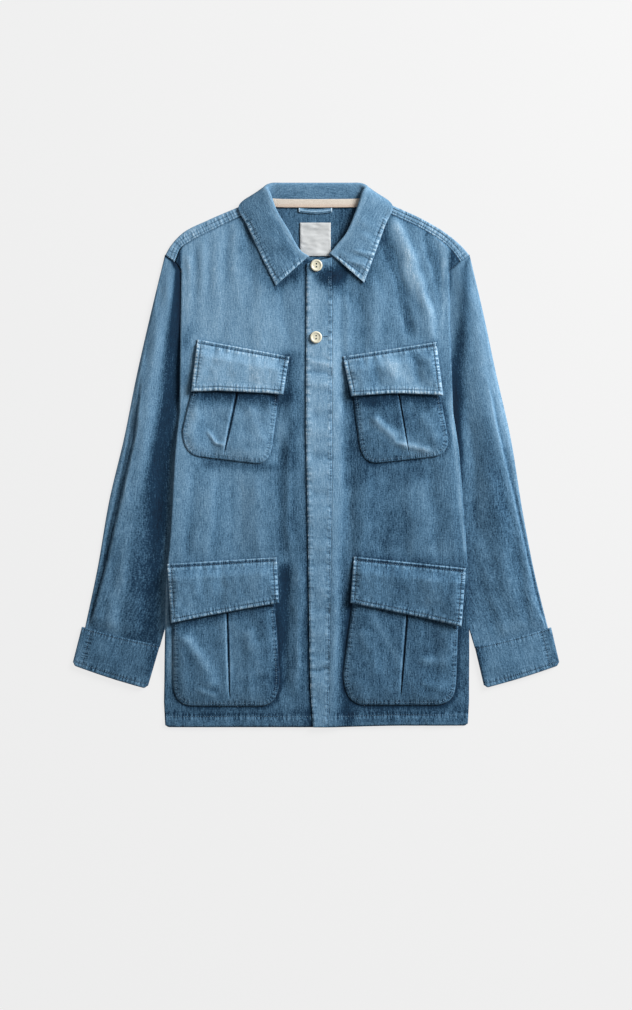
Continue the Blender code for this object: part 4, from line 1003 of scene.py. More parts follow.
def makePlacket():
    outer, inner = placket["outer"][::-1], placket["inner"][::-1]
    u, v = np.meshgrid(placket["columns"], shares(placket["rows"]))
    plan = patch((outer[0], inner[0]), (outer[-1], inner[-1]), outer, inner, u, v)
    x, y = apart(plan)
    across = np.linalg.norm(plan - plan[:, :1], axis=-1)
    width = np.linalg.norm(plan[:, -1:] - plan[:, :1], axis=-1)
    puckers = 0.75 * noise(y * 0.95, x * 0.25, 6.2, 33) * bell(width - across - 4.5, 4.5)
    ripple = 0.25 * noise(y, x, 5.0, 34) * bell(across, 3.5)
    height = placketTop(x, y) + puckers + ripple + hemForm(x, y) * 0.6 - fade(across, 3.0)
    height = height - 0.2 * fade(width - across, 1.2)
    outerLine, innerLine = (straight(rows, shares(60)) for rows in (outer, inner))
    lines = [paired(innerLine[:, 0] - 1.6, outerLine[:, 1]), outerLine + (2.6, 0.0)]
    gap, run = seamField(plan, lines)
    gap = gap + 0.8 * (across < 6.0) + 0.9 * smooth((y - 160.0) / 20.0)        # faint where little shows
    # paler where it stands up, as wear, with painted light and shade over the band's bumps
    tone = bodyTone(x, y) + 0.17 * standing(height, 7) + 0.05 + 0.07 * smooth((60.0 - y) / 250.0)
    tone = tone + collarShade(plan)
    look = {"tone": tone, "seamGap": gap, "seamRun": run * 0.55, "edge": fade(across, 2.0)}
    points = raised(plan, height)
    band = shell("placket_cloth", points, placket["wall"], plan, look, "up")
    settle(band, "chambray_pale", ["placket"])
    for line in (*lines, lines[0] - (3.4, 0.0), hemLine(-3.0, 17.0)):
        sew("body", straight(line, np.linspace(0.01, 0.97, 60)), points)
    for side in (-1.0, 1.0):
        sew("hole", np.asarray(placket["hole"]) + (0.0, side * placket["holeGap"]), points, 0.5)
    makeSlit(points)


# the buttonhole's dark slit, a thin lens of painted shade in the cut between its rows of stitches
def makeSlit(points):
    start, end = np.asarray(placket["hole"])
    u, v = meshShares(*placket["slitGrid"])
    wide = placket["slitHalf"] * np.sqrt(np.clip(1.0 - (2.0 * u - 1.0) ** 4, 0.02, 1.0))
    plan = start + (end - start) * u[..., None] + paired(0.0, (v - 0.5) * 2.0 * wide)
    flat = points.reshape(-1, 3)
    spot = flat[np.argsort(np.hypot(*(flat[:, :2] - (start + end) / 2.0).T))[:12]]
    height = spot[:, 2].mean() + 0.12 - 0.4 * np.abs(v - 0.5)
    slit = shell("buttonhole_slit", raised(plan, height), 0.3, plan, {"tone": -0.5}, "up")
    settle(slit, "chambray_deep")


def creaseDistance(x, y, side):        # from the crease toward the body
    return 0.97 * (np.abs(crossing(sleeve["crease"][side], y)) - np.abs(x))


# cuff corners in plan by side: outer top, inner top, outer bottom, inner bottom
cuff = {
    "wall": 1.8,
    "height": 5.2,
    "bow": 1.5,
    "rings": 44,
    "across": (72, 26),         # points over the top and under
    "corners": {
        -1: ((-351.0, -257.5), (-233.8, -285.0), (-365.5, -314.5), (-253.0, -350.5)),
        1: ((352.5, -258.5), (237.8, -287.2), (365.5, -314.5), (252.5, -349.5)),
    },
    "topStitch": 0.055,         # shares of the cuff's height, and of its width
    "lowStitch": 0.9,
    "sideEdge": 0.15,
}


# shares across a flattened tube, close together at its edges
def flatShares(count):
    return 0.5 - 0.5 * np.cos(np.pi * (0.06 + 0.88 * shares(count)))


def roundedEdge(share, reach):         # a quarter circle up from an edge
    return np.sqrt(np.clip(1.0 - (1.0 - np.minimum(share / reach, 1.0)) ** 2, 0.0, 1.0))


# rings of a flattened tube: back along its underside, round one edge and over the top
def flatTube(planAt, rings, edgeHeight, topHeight, counts):
    over, under = (flatShares(count) for count in counts)
    order = np.concatenate([under[::-1], [0.0], over, [1.0], under[-1:]])
    ring, across = np.meshgrid(rings, order, indexing="ij")
    plan = planAt(ring, across)
    height = 0.45 * np.abs(noise(*apart(plan), 24.0, 41)) * smooth(np.minimum(across, 1.0 - across) / 0.1)
    first = len(under)
    for column in (first, -2):
        height[:, column] = edgeHeight(rings) * 0.45
    top = slice(first + 1, first + 1 + len(over))
    height[:, top] = topHeight(ring[:, top], across[:, top], plan[:, top])
    return raised(plan, height), top


def cuffTop(corners, stations):
    outer, inner = np.asarray(corners[:2])
    share = np.asarray(stations)[..., None]
    return outer + (inner - outer) * share + (0.0, -cuff["bow"]) * np.sin(np.pi * share)


def tubePiece(node, points, wall, look):
    around = runAlong(points[len(points) // 2, :, :2])
    along = runAlong(points.mean(axis=1)[:, :2])
    grain = paired(around[None, :], along[:, None])
    return shell(node + "_cloth", points, wall, grain, look, "round", wrap=True)


def makeSleeve(node, side):
    wrist = cuffTop(cuff["corners"][side], np.linspace(0.035, 0.997, 30)) + (0.0, -3.0)
    armhole = np.asarray([row for row in body["edge"] if row[0] >= body["pitY"]])[::-1]
    armhole = paired(armhole[:, 1 if side < 0 else 2], armhole[:, 0])
    cap = armhole[:3] + (side * 0.4, 0.8)
    tucked = armhole[2:] - (side * sleeve["tuck"], 0.0)
    outer = np.vstack([cap[0], sleeve["outer"][side][1:-1], wrist[0]])
    inner = np.asarray(sleeve["inner"][side][1:-1])
    tuckedX = np.minimum(np.abs(inner[:, 0]), np.abs(bodyEdge(inner[:, 1], side)) - sleeve["tuck"])
    inner = np.where(inner[:, 1:] > -60.0, paired(side * tuckedX, inner[:, 1]), inner)
    inner = np.vstack([cap[2], tucked[1:], inner, wrist[-1]])
    steps = np.linalg.norm(np.diff(inner, axis=0), axis=1)
    pit = steps[:len(tucked) - 1].sum() / steps.sum()

    def planAt(u, v):
        return patch(cap, wrist, partial(curve, outer), inner, v, u)

    def edgeHeight(u):
        return sleeve["edge"] + smooth((np.asarray(u) - 0.94) / 0.06)

    def topHeight(u, v, plan):
        x, y = apart(plan)
        full = sleeve["fullness"] * bell(v - 0.36, 0.23) * smooth(u / 0.12)
        full = full * (1.0 - 0.45 * smooth((u - 0.8) / 0.2))
        clear = smooth(u / 0.08) * smooth((0.8 - v) / 0.2 + 0.6 * smooth((pit - u) / 0.05)) * smooth(v / 0.06)
        wrinkle = creases(x, y, sleeve["folds"][side], 43) + 0.4 * noise(x, y, 26.0, 44)
        pucker = 0.5 * noise(v * 130.0, u * 60.0, 9.0, 45) * smooth((u - 0.93) / 0.05)
        tuck = smooth((v - 0.55) / 0.4) * smooth((pit + 0.02 - u) / 0.06)
        fold = creaseDistance(x, y, side)
        step = 2.6 * smooth((fold + 0.6) / 2.4) - bell(fold + 1.6, 1.3) - 2.2 * smooth((fold - 4.0) / 60.0)
        height = edgeHeight(u) * (0.45 + 0.55 * roundedEdge(v, 0.06)) + full * smooth((fold + 26.0) / 30.0)
        height = height + (wrinkle + pucker) * clear + step * creaseHold(y) * smooth(v / 0.05)
        height = np.maximum(height * (1.0 - tuck) + 1.7 * tuck, 1.4)
        meet = smooth((np.abs(bodyEdge(y, side)) - np.abs(x)) / 4.5) * smooth((y + 70.0) / 40.0)
        height = height + meet * np.maximum(groundTop(x, y) - 0.15 - height, 0.0)    # up to the body above it
        ending = smooth((u - 0.955) / 0.045)
        return height * (1.0 - ending) + np.minimum(height, 3.6) * ending

    toPit, toCuff = sleeve["rings"]
    rings = np.concatenate([pit * shares(toPit), pit + (1.0 - pit) * shares(toCuff)[1:]])
    points, top = flatTube(planAt, rings, edgeHeight, topHeight, sleeve["across"])
    x, y = apart(points)
    bodyX = np.abs(bodyEdge(y, side))
    share = (np.abs(x) - bodyX) / np.maximum(np.abs(crossing(outer, y)) - bodyX, 12.0)
    fold = creaseDistance(x, y, side)
    tone = sleeveTone(x, y) + sleeveShade(side, share, y)
    # painted shade along the long crease, and lighter on the strip beyond it
    tone = tone + creaseHold(y) * (0.07 * fade(fold + 1.0, 2.0) - 0.1 * bell(fold + 1.6, 1.8))
    tone[:, top] += 0.09 * standing(points[:, top, 2], 7)
    piece = settle(tubePiece(node, points, sleeve["wall"], {"tone": tone}), "chambray", [node])


def creaseHold(y):                     # the long crease fades out toward the shoulder
    return smooth((125.0 - y) / 70.0)


def makeCuff(node, side):
    corners = np.asarray(cuff["corners"][side])
    down = corners[2:] - corners[:2]

    def planAt(u, v):
        corner = fade(v, 0.06) ** 2 + fade(1.0 - v, 0.06) ** 2
        u = u * (1.0 - 0.07 * corner * u ** 8)
        return cuffTop(corners, v) + (down[0] + (down[1] - down[0]) * v[..., None]) * u[..., None]

    def edgeHeight(u):
        return np.full(np.shape(u), cuff["height"])

    def topHeight(u, v, plan):
        rounding = roundedEdge(np.minimum(v, 1.0 - v), 0.05)
        ends = smooth(np.minimum(u, 1.0 - u) / 0.05)
        grooves = bell(u - cuff["topStitch"], 0.025) + bell(u - cuff["lowStitch"], 0.025)
        puckers = 0.5 * noise(v * 115.0, u * 18.0, 5.5, 51) * (bell(u, 0.14) + bell(1.0 - u, 0.14))
        lap = 0.8 * smooth((v - cuff["sideEdge"]) / 0.015)
        soft = 0.7 * noise(*apart(plan), 21.0, 52) + 0.5 * np.sin(np.pi * v)
        height = cuff["height"] * (0.5 + 0.5 * rounding) * (0.93 + 0.07 * ends)
        return height + soft + puckers - 0.4 * grooves + lap

    points, top = flatTube(planAt, shares(cuff["rings"]), edgeHeight, topHeight, cuff["across"])
    x, y = apart(points)
    along = np.linspace(0.03, 0.97, 40)
    lines = [planAt(np.full(40, cuff[key]), along) for key in ("topStitch", "lowStitch")]
    lines.append(planAt(along, np.full(40, cuff["sideEdge"] - 0.025)))
    gap, run = seamField(points[..., :2], lines)
    outward = (np.abs(x) - 243.0) / 115.0
    tone = sleeveTone(x, y) + 0.06 * noise(x, y, 19.0, 53) + 0.06
    tone[:, top] += 0.09 * standing(points[:, top, 2], 4)
    # darker at the inner end; painted light at the outer end of the cuff at the viewer's left, which faces
    # away from the light, and painted shade at the other's
    tone = tone - 0.2 * bell(outward, 0.1) + (0.03 - 0.11 * np.sign(x)) * bell(1.0 - outward, 0.1)
    look = {"tone": tone, "seamGap": gap, "seamRun": run}
    piece = settle(tubePiece(node, points, cuff["wall"], look), "chambray_deep", [node])
    for line in lines:
        sew("cuffs", line, points[:, top])


# the collar's outer face at each station: up the stand, over the roll and down the leaf
def collarFace(rows, bendCount=9, leafCount=30, standCount=7):
    seam, roll, edge, radius = rows[:, 0:3], rows[:, 3:6], rows[:, 6:9], rows[:, 9:10]
    back = unit((seam + edge) / 2.0 - roll)
    spread = seam - edge
    spread = unit(spread - back * (spread * back).sum(axis=1, keepdims=True))
    turns = np.radians(np.linspace(90.0, -90.0, bendCount))
    bend = [roll + back * radius * (1.0 - np.cos(turn)) + spread * radius * np.sin(turn) for turn in turns]
    stand = [seam + (bend[0] - seam) * share for share in shares(standCount)[:-1]]
    leaf = [bend[-1] + (edge - bend[-1]) * share for share in shares(leafCount)[1:]]
    return np.stack(stand + bend + leaf, axis=1), len(stand), len(stand) + bendCount


def makeCollar():
    face, bendStart, leafStart = collarFace(collarRows(collar["steps"]))
    face[..., 2] = np.maximum(face[..., 2], 0.0)
    x, y = apart(face)
    stations, columns = face.shape[:2]
    steps = np.linalg.norm(np.diff(face, axis=1), axis=2)
    toEdge = np.cumsum(steps[:, ::-1], axis=1)[:, ::-1]
    toEdge = np.concatenate([toEdge, np.zeros((stations, 1))], axis=1)
    along = runAlong(face[:, -1])[:, None] * np.ones((1, columns))
    endRun = runAlong(face[:, leafStart + collar["endColumn"]])
    toEnd = np.minimum(endRun, endRun[-1] - endRun)[:, None] * np.ones((1, columns))
    inset = np.minimum(toEdge, toEnd)
    onLeaf = smooth((np.arange(columns) - leafStart + 2.0) / 6.0)[None, :]
    front = smooth((380.0 - y) / 30.0)
    belly = 1.1 * np.sin(np.pi * np.clip(toEdge / 52.0, 0.0, 1.0)) * front
    belly = belly + creases(x, y, collar["wrinkles"], 64, 16.0) * smooth(inset / 8.0)
    edgeTicks = 0.5 * noise(along, toEdge * 0.5, 3.8, 61) * smooth((9.0 - inset) / 5.0)
    wrinkles = 0.55 * noise(along * 0.9, toEdge * 0.5, 11.0, 62) * smooth((26.0 - inset) / 16.0)
    broad = 0.7 * noise(along, toEdge, 31.0, 63) * smooth(inset / 12.0)
    groove = -0.4 * bell(inset - collar["stitchIn"], 1.1)
    leftGain = 1.0 + 0.5 * smooth(x / 30.0)            # the wearer's left leaf is more wrinkled
    lift = (belly + (edgeTicks + wrinkles + groove) * front * leftGain + broad * front) * onLeaf
    lift = lift - 0.7 * fade(inset, 1.8) * onLeaf * front
    face[..., 2] = face[..., 2] + lift
    inward = unit(np.cross(np.gradient(face, axis=1), np.gradient(face, axis=0)))
    for sweep in range(collar["sweeps"]):
        inward[1:-1] = unit(inward[:-2] + 2.0 * inward[1:-1] + inward[2:])
    hub = (face[:, bendStart:bendStart + 1] + face[:, leafStart - 1:leafStart]) / 2.0
    bend = face[:, bendStart:leafStart] - hub
    inner = face + inward * collar["wall"]
    inner[:, bendStart:leafStart] = hub + bend - unit(bend) * collar["wall"]
    inner[..., 2] = np.maximum(inner[..., 2], 0.0)
    rings = np.concatenate([face, inner[:, ::-1], face[:, :1]], axis=1)
    climb = np.clip(np.arange(columns) / leafStart, 0.0, 1.0)
    # painted light on the leaf at the viewer's right and painted shade on the other, wear where it stands up,
    # painted shade down the inside of the stand, the collar's painted light and shade, and paler rims:
    # painted light on the outer edge of the leaf at the viewer's left and a paler front end on the other
    tone = 0.07 * np.tanh(x / 60.0) * onLeaf + 0.09 * standing(lift, 6)
    tone = tone - 0.09 + (0.34 * climb - 0.11) * (1.0 - onLeaf)
    tone = tone + creases(x, y, collar["shades"], 65, 16.0) * onLeaf
    rims = 0.14 * smooth(-x / 20.0) * fade(toEdge, 6.0) + 0.15 * smooth(x / 20.0) * fade(toEnd, 7.0)
    tone = tone + rims * onLeaf * front

    def both(values):
        return np.concatenate([values, values[:, ::-1], values[:, :1]], axis=1)

    look = {
        "tone": both(tone),
        "seamGap": both(np.abs(inset - collar["stitchIn"]) + 40.0 * (1.0 - onLeaf * front)),
        "seamRun": both(np.where(toEdge < toEnd, along, 400.0 + toEdge)),
        "edge": both(fade(inset - 1.0, 5.0) * onLeaf * front),
    }
    piece = solid("collar_cloth", rings, paired(both(toEdge), both(along)), look, collar["sharp"])
    settle(piece, "chambray", ["collar"])
    leaf = face[:, leafStart:]
    sewn = np.argmin(np.abs(toEdge[:, leafStart:] - collar["stitchIn"]), axis=1)
    inFront = (leaf[:, -1, 1] < 372.0) & (toEnd[:, 0] > collar["stitchIn"])
    for half in (leaf[:, -1, 0] < 0.0, leaf[:, -1, 0] >= 0.0):
        picked = np.flatnonzero(half & inFront)
        sew("collar", leaf[picked, sewn[picked]], leaf)
        row = picked[0] if picked[0] < stations // 2 else picked[-1]
        sew("collar", leaf[row, 3:-3], leaf)


# tape over the neck seam, the hanging loop and the bare label
trim = {
    "wall": 1.0,
    "lay": 0.7,
    "tapeReach": (-2.5, 10.0),
    "tapeHalf": 68.0,
    "tapeSteps": 24,
    "tapeColumns": 15,
    "tapeStops": ((0.0, (0.46, 0.39, 0.31)), (0.5, (0.66, 0.59, 0.51)), (1.0, (0.82, 0.77, 0.7))),
    "tapeBlush": (0.58, 0.42, 0.32, 1.0),
    "loopGrid": (60, 10),
    "loopCentre": (-1.0, 367.0),
    "loopSize": (50.0, 6.5),
    "loopSag": 2.5,
    "labelGrid": (60, 64),
    "labelCentre": (-1.0, 323.0),
    "labelSize": (46.0, 50.0),
    "labelStops": ((0.0, (0.36, 0.37, 0.375)), (0.5, (0.5, 0.515, 0.52)), (1.0, (0.62, 0.635, 0.64))),
}


def trimTop(x, y):
    return groundTop(x, y) + body["wall"] + trim["lay"] + trim["wall"]


def makeTape():
    rows = collarRows(trim["tapeSteps"])
    rows = rows[(np.abs(rows[:, 0]) < trim["tapeHalf"]) & (rows[:, 1] > trim["loopCentre"][1])]
    face = collarFace(rows)[0]
    seam = face[:, 0]
    up = unit(face[:, 3] - seam)
    normal = unit(np.cross(np.gradient(seam, axis=0), up))
    normal = normal * np.sign(normal[:, 2:3])
    reach = np.linspace(*trim["tapeReach"], trim["tapeColumns"])
    run = runAlong(seam)
    ripple = 0.25 * noise(run[:, None] + 0.0 * reach, reach[None, :] + 0.0 * run[:, None], 14.0, 71)
    drop = 0.85 * (seam[:, 1:2] - seam[:, 1].min()) + 0.8         # it hangs nearly level
    seam = seam - drop * (0.0, 1.0, 0.0)
    lift = (trim["lay"] + trim["wall"] + ripple)[..., None] * normal[:, None]
    points = seam[:, None] + up[:, None] * reach[None, :, None] + lift
    tape = shell("neck_tape_cloth", points, trim["wall"], paired(run[:, None], reach[None, :]), {}, "up")
    settle(tape, "tape", ["neck_tape"], tapeFinish())


# a small oblong of the trim in plan, with shares across and up it
def trimPlan(key):
    u, v = meshShares(*trim[key + "Grid"])
    centre, size = trim[key + "Centre"], trim[key + "Size"]
    return u, v, centre[0] + (u - 0.5) * size[0], centre[1] + (v - 0.5) * size[1]


def makeLoop():
    u, v, x, y = trimPlan("loop")
    y = y - trim["loopSag"] * np.sin(np.pi * u)
    crown = 0.5 * np.sin(np.pi * v) + 0.2 * noise(x, y, 8.0, 72)
    tack = fade(np.minimum(u, 1.0 - u), 0.05)
    seamGap = np.abs(np.minimum(v, 1 - v) * trim["loopSize"][1] - 1.2) + 3.0 * tack
    look = {"tone": 0.02 + 0.1 * crown, "edge": tack * 0.9, "seamGap": seamGap}
    points = raised(paired(x, y), trimTop(x, y) + crown)
    loop = shell("hanger_loop_cloth", points, trim["wall"], points[..., 1::-1], look, "up")
    return settle(loop, "chambray_pale", ["hanger_loop"])


def makeLabel():
    u, v, x, y = trimPlan("label")
    waves = 0.7 * noise(x * 0.3, y, 8.0, 73) + 0.5 * noise(x * 0.45, y, 4.2, 74)
    wide, high = trim["labelSize"]
    edge = np.minimum(np.minimum(u, 1.0 - u) * wide, np.minimum(v, 1.0 - v) * high)
    points = raised(paired(x, y), trimTop(x, y) + waves * smooth(edge / 4.0) - 0.35 * fade(edge, 1.6))
    label = shell("label_cloth", points, trim["wall"], points[..., :2], {}, "up")
    settle(label, "label", ["label"], labelFinish())


def tapeFinish():
    add = nodeMaker("creamTape")
    parts = add("ShaderNodeSeparateXYZ", {0: add.grain()})
    bone = add.maths("PINGPONG", parts.outputs[1], 0.0031)        # herringbone rows along the tape
    twill = add.maths("SINE", add.maths("MULTIPLY", add.maths("ADD", parts.outputs[0], bone), 4200.0))
    value = add.plus(add.weighted(0.5, ((0.35, add.streaks(160.0, 420.0)),)), 0.1, twill)
    colour = add.ramp(value, trim["tapeStops"])
    blush = add.maths("MULTIPLY", add.fadeOut(parts.outputs[1], 0.0, 0.004), 0.5)
    # warmer along its lower edge
    warm = add("ShaderNodeMix", {"Factor": blush, 6: colour, 7: trim["tapeBlush"]}, data_type="RGBA")
    return add.surface(warm.outputs[2], 0.9, 0.16, add.bump(twill, 0.0002, 0.6))


def labelFinish():
    add = nodeMaker("bareLabel")
    weave = add.streaks(300.0, 1500.0)
    value = add.weighted(0.5, ((0.3, weave), (0.35, add.streaks(60.0, 110.0))))
    colour = add.ramp(value, trim["labelStops"])
    return add.surface(colour, 0.75, 0.25, add.bump(weave, 0.0002, 0.4))


# pockets: flap corners from the top left round, bag corners from the left side round, pleat ends
pockets = {
    "chest_right": {
        "front": "front_right",
        "flap": ((-177.8, 173.0), (-39.9, 147.3), (-48.8, 89.4), (-187.0, 94.4)),
        "bag": ((-200.0, 38.0), (-199.0, 0.0), (-67.0, -16.0), (-64.3, 24.0)),
        "pleat": ((-118.2, 94.0), (-136.0, 9.0)),
        "rise": 3.0,
        "bow": 3.0,
        "slit": 1.5,
        "bagFolds": (
            (-161, 35, -150, 18, 1.2, 2.6), (-151, 18, -137, 15, 1.2, 2.4), (-98, 70, -84, 20, 0.9, 10),
            (-178, 66, -184, 24, 0.8, 9),
        ),
        "flapTone": 0.05,
        "bagTone": -0.08,
        "under": (30.0, 0.5),
        "folds": (
            (-150, 150, -156, 104, 0.8, 8), (-108, 145, -112, 100, -0.7, 9), (-78, 140, -80, 98, 0.7, 9),
        ),
    },
    "chest_left": {
        "front": "front_left",
        "flap": ((39.6, 147.3), (180.3, 169.0), (190.3, 88.4), (52.7, 87.4)),
        "bag": ((64.0, 22.5), (68.0, -15.0), (198.0, -1.0), (198.0, 25.0)),
        "pleat": ((124.3, 90.0), (138.8, 4.0)),
        "rise": 3.0,
        "bow": 3.4,
        "slit": 0.8,
        "bagFolds": (
            (87, 57, 119, 22, 1.4, 6), (119, 19, 170, 5, 1.2, 4), (160, 60, 178, 24, 0.9, 9),
        ),
        "flapTone": 0.06,
        "bagTone": -0.1,
        "under": (26.0, 0.3),
        "folds": (
            (86, 142, 90, 104, -2, 8), (114, 142, 118, 100, 1.6, 12), (146, 150, 152, 108, -2, 8),
            (170, 146, 172, 100, 0.9, 9),
        ),
    },
    "hip_right": {
        "front": "front_right",
        "flap": ((-222.8, -163.0), (-58.8, -153.2), (-55.2, -221.4), (-216.4, -251.6)),
        "bag": ((-214.2, -340.0), (-214.0, -376.0), (-54.5, -377.0), (-54.3, -331.0)),
        "pleat": ((-132.8, -239.6), (-129.6, -354.0)),
        "rise": 3.6,
        "bow": 0.6,
        "slit": 1.0,
        "bagFolds": (
            (-193, -271, -154, -348, 1.6, 9), (-100, -262, -84, -330, 0.9, 11),
            (-176, -352, -150, -360, 0.9, 4),
        ),
        "flapTone": -0.01,
        "bagTone": -0.04,
        "under": (18.0, 0.2),
        "folds": (
            (-180, -180, -182, -238, 0.9, 12), (-142, -175, -146, -232, -0.8, 11),
            (-92, -170, -96, -222, 0.9, 13),
        ),
    },
    "hip_left": {
        "front": "front_left",
        "flap": ((56.4, -152.2), (224.5, -169.5), (217.3, -256.8), (51.0, -221.4)),
        "bag": ((40.5, -326.0), (41.5, -375.0), (211.0, -375.0), (210.0, -335.0)),
        "pleat": ((136.5, -239.6), (126.5, -364.0)),
        "rise": 3.6,
        "bow": 1.0,
        "slit": 0.9,
        "bagFolds": (
            (159, -305, 197, -312, 0.9, 7), (70, -262, 92, -330, 1, 10), (160, -340, 190, -352, 0.8, 6),
        ),
        "flapTone": 0.08,
        "bagTone": 0.06,
        "under": (14.0, 0.06),
        "folds": (
            (84, -172, 80, -222, 0.8, 11), (122, -178, 120, -230, -0.8, 12), (168, -182, 170, -240, 1, 13),
            (198, -184, 196, -244, -0.7, 9),
        ),
    },
}
pocketForm = {
    "grid": (109, 66),
    "flapGrid": (118, 58),
    "lay": 0.4,
    "wall": 1.2,
    "flapWall": 2.0,
    "fine": 160,                 # columns that the pleat is first found on
    "pleatDepth": 3.4,
    "pleatSpan": 140.0,
    "mouth": 0.36,               # how far down the flap's sides the bag starts
    "corner": 0.2,               # share of the floor that each round corner takes
    "stitchIn": 4.6,
    "flapStitchIn": 6.0,
    "strip": 5.5,                # sewn strip along a flap's top
    "thinLine": 1.7,
}


def cornerArc(start, corner, end, stations):
    t = np.asarray(stations)[..., None]
    return start * (1 - t) ** 2 + 2.0 * corner * t * (1 - t) + end * t * t


# a line moved to its left by a distance, mitred at its corners
def movedLine(line, by):
    line = np.asarray(line, float)
    steps = unit(np.diff(line, axis=0))
    sides = paired(-steps[:, 1], steps[:, 0])
    before, after = np.vstack([sides[:1], sides]), np.vstack([sides, sides[-1:]])
    middle = unit(before + after)
    return line + middle * by / np.maximum((middle * after).sum(axis=1, keepdims=True), 0.5)


# left side from the bottom up, floor of the bag, right side
def bagEdges(sizes):
    topLeft, topRight, lowRight, lowLeft = np.asarray(sizes["flap"])
    leftLow, leftCorner, rightCorner, rightLow = np.asarray(sizes["bag"])
    mouthLeft = topLeft + (lowLeft - topLeft) * pocketForm["mouth"] + (6.0, 0.0)
    mouthRight = topRight + (lowRight - topRight) * pocketForm["mouth"] - (7.0, 0.0)
    inset = (rightCorner - leftCorner) * pocketForm["corner"]
    leftArc = partial(cornerArc, leftLow, leftCorner, leftCorner + inset)
    rightArc = partial(cornerArc, rightLow, rightCorner, rightCorner - inset)
    low, high = np.linspace(0.5, 0.0, 9), np.linspace(0.5, 1.0, 9)
    left = np.vstack([leftArc(low), mouthLeft])
    right = np.vstack([rightArc(low), mouthRight])
    return left, np.vstack([leftArc(high), rightArc(high[::-1])]), right


def bagOutline(sizes):
    left, floor, right = bagEdges(sizes)
    return np.vstack([left[::-1], floor[1:-1], right])


def flapEdge(sizes):        # down the left side, along the bottom and up the right side
    topLeft, topRight, lowRight, lowLeft = np.asarray(sizes["flap"])
    across = shares(34)
    wave = sizes["bow"] + 0.9 * noise(across * 150.0, across * 0.0 + topLeft[0], 21.0, 81)
    low = lowLeft + (lowRight - lowLeft) * across[:, None] + paired(0.0, wave * np.sin(np.pi * across))
    return topLeft, low, topRight


def makePocket(place, sizes):
    left, floor, right = bagEdges(sizes)
    cover = partial(patch, floor, (left[-1], right[-1]), left, right)
    columns, rows = pocketForm["grid"]

    # columns crowd toward the pleat, which leans between its two ends
    pleatTop, pleatLow = np.asarray(sizes["pleat"])
    t = np.linspace(-1.0, 1.0, columns)
    s, v = np.meshgrid(0.5 + 0.5 * (0.4 * t + 0.6 * t ** 3), shares(rows))
    fine = pocketForm["fine"]
    trial = cover(*meshShares(fine, rows))
    lean = (pleatTop[0] - pleatLow[0]) / (pleatTop[1] - pleatLow[1])
    pleatX = pleatLow[0] + lean * (trial[:, fine // 2, 1] - pleatLow[1])
    pleatU = [np.interp(spot, row, shares(fine)) for spot, row in zip(pleatX, trial[..., 0])]
    pleatU = np.array(pleatU)[:, None]
    plan = cover(np.where(s < 0.5, s * 2.0 * pleatU, 1.0 - (1.0 - s) * 2.0 * (1.0 - pleatU)), v)
    x, y = apart(plan)

    outline = bagOutline(sizes)
    seam = movedLine(outline, pocketForm["stitchIn"])
    away, run = seamField(plan, [outline])
    seamGap, seamRun = seamField(plan, [seam])
    pillow = 1.0 - (1.0 - np.minimum(away / 17.0, 1.0)) ** 2
    belly = 1.3 * bell(y - floor[:, 1].mean() - 26.0, 18.0) * smooth((away - 4.0) / 16.0)
    rumple = noise(x, y * 0.6, 25.0, 82) + 0.45 * noise(x, y, 11.0, 83)
    ridges = creases(x, y, sizes["bagFolds"], 91, 14.0)
    puckers = 0.34 * noise(run, away * 0.3, 5.5, 84) * smooth((13.0 - away) / 8.0)
    fromPleat = (s - 0.5) * pocketForm["pleatSpan"]
    slitWide = sizes["slit"] * (0.55 + 0.7 * smooth((v - 0.08) / 0.3) - 0.35 * smooth((v - 0.5) / 0.4))
    slitFade = smooth((v - 0.05) / 0.12)
    slit = bell(fromPleat, slitWide) * slitFade
    lap = (0.5 * bell(fromPleat + 5.0, 4.0) - 0.3 * bell(fromPleat - 5.0, 4.0)) * slitFade
    foot = 0.6 * bell(v - 0.06, 0.02) * bell(fromPleat, 7.0)
    form = (sizes["rise"] + rumple + 1.5 * ridges) * pillow + belly + puckers + lap + foot
    form = form - 0.45 * bell(seamGap, 1.2) - pocketForm["pleatDepth"] * slit - 0.5 * fade(away, 1.6)
    height = frontTop(x, y) + pocketForm["lay"] + pocketForm["wall"] + np.maximum(form, -0.3)

    flapLow = flapEdge(sizes)[1]
    underFlap = np.interp(x, flapLow[:, 0], flapLow[:, 1]) - y
    # wear where the bag stands up, painted light on its folds, a painted shadow under the flap, painted shade
    # in the pleat's slit and a painted highlight on its lip
    tone = bodyTone(x, y) + sizes["bagTone"] + 0.09 * standing(height, 6) + 0.1 * ridges
    tone = tone + shade(underFlap - 2.0, *sizes["under"]) - 0.35 * slit
    tone = tone + 0.12 * bell(fromPleat + slitWide + 1.2, 1.2) * slitFade
    look = {"tone": tone, "seamGap": 1.4 * seamGap + 0.5, "seamRun": seamRun, "edge": 0.6 * fade(away, 1.8)}
    points = raised(plan, height)
    bag = shell("pocket_" + place + "_cloth", points, pocketForm["wall"], plan, look, "up")
    settle(bag, "chambray", ["pocket_" + place])
    sew("pockets", straight(seam, np.linspace(0.1, 0.9, 90)), points)


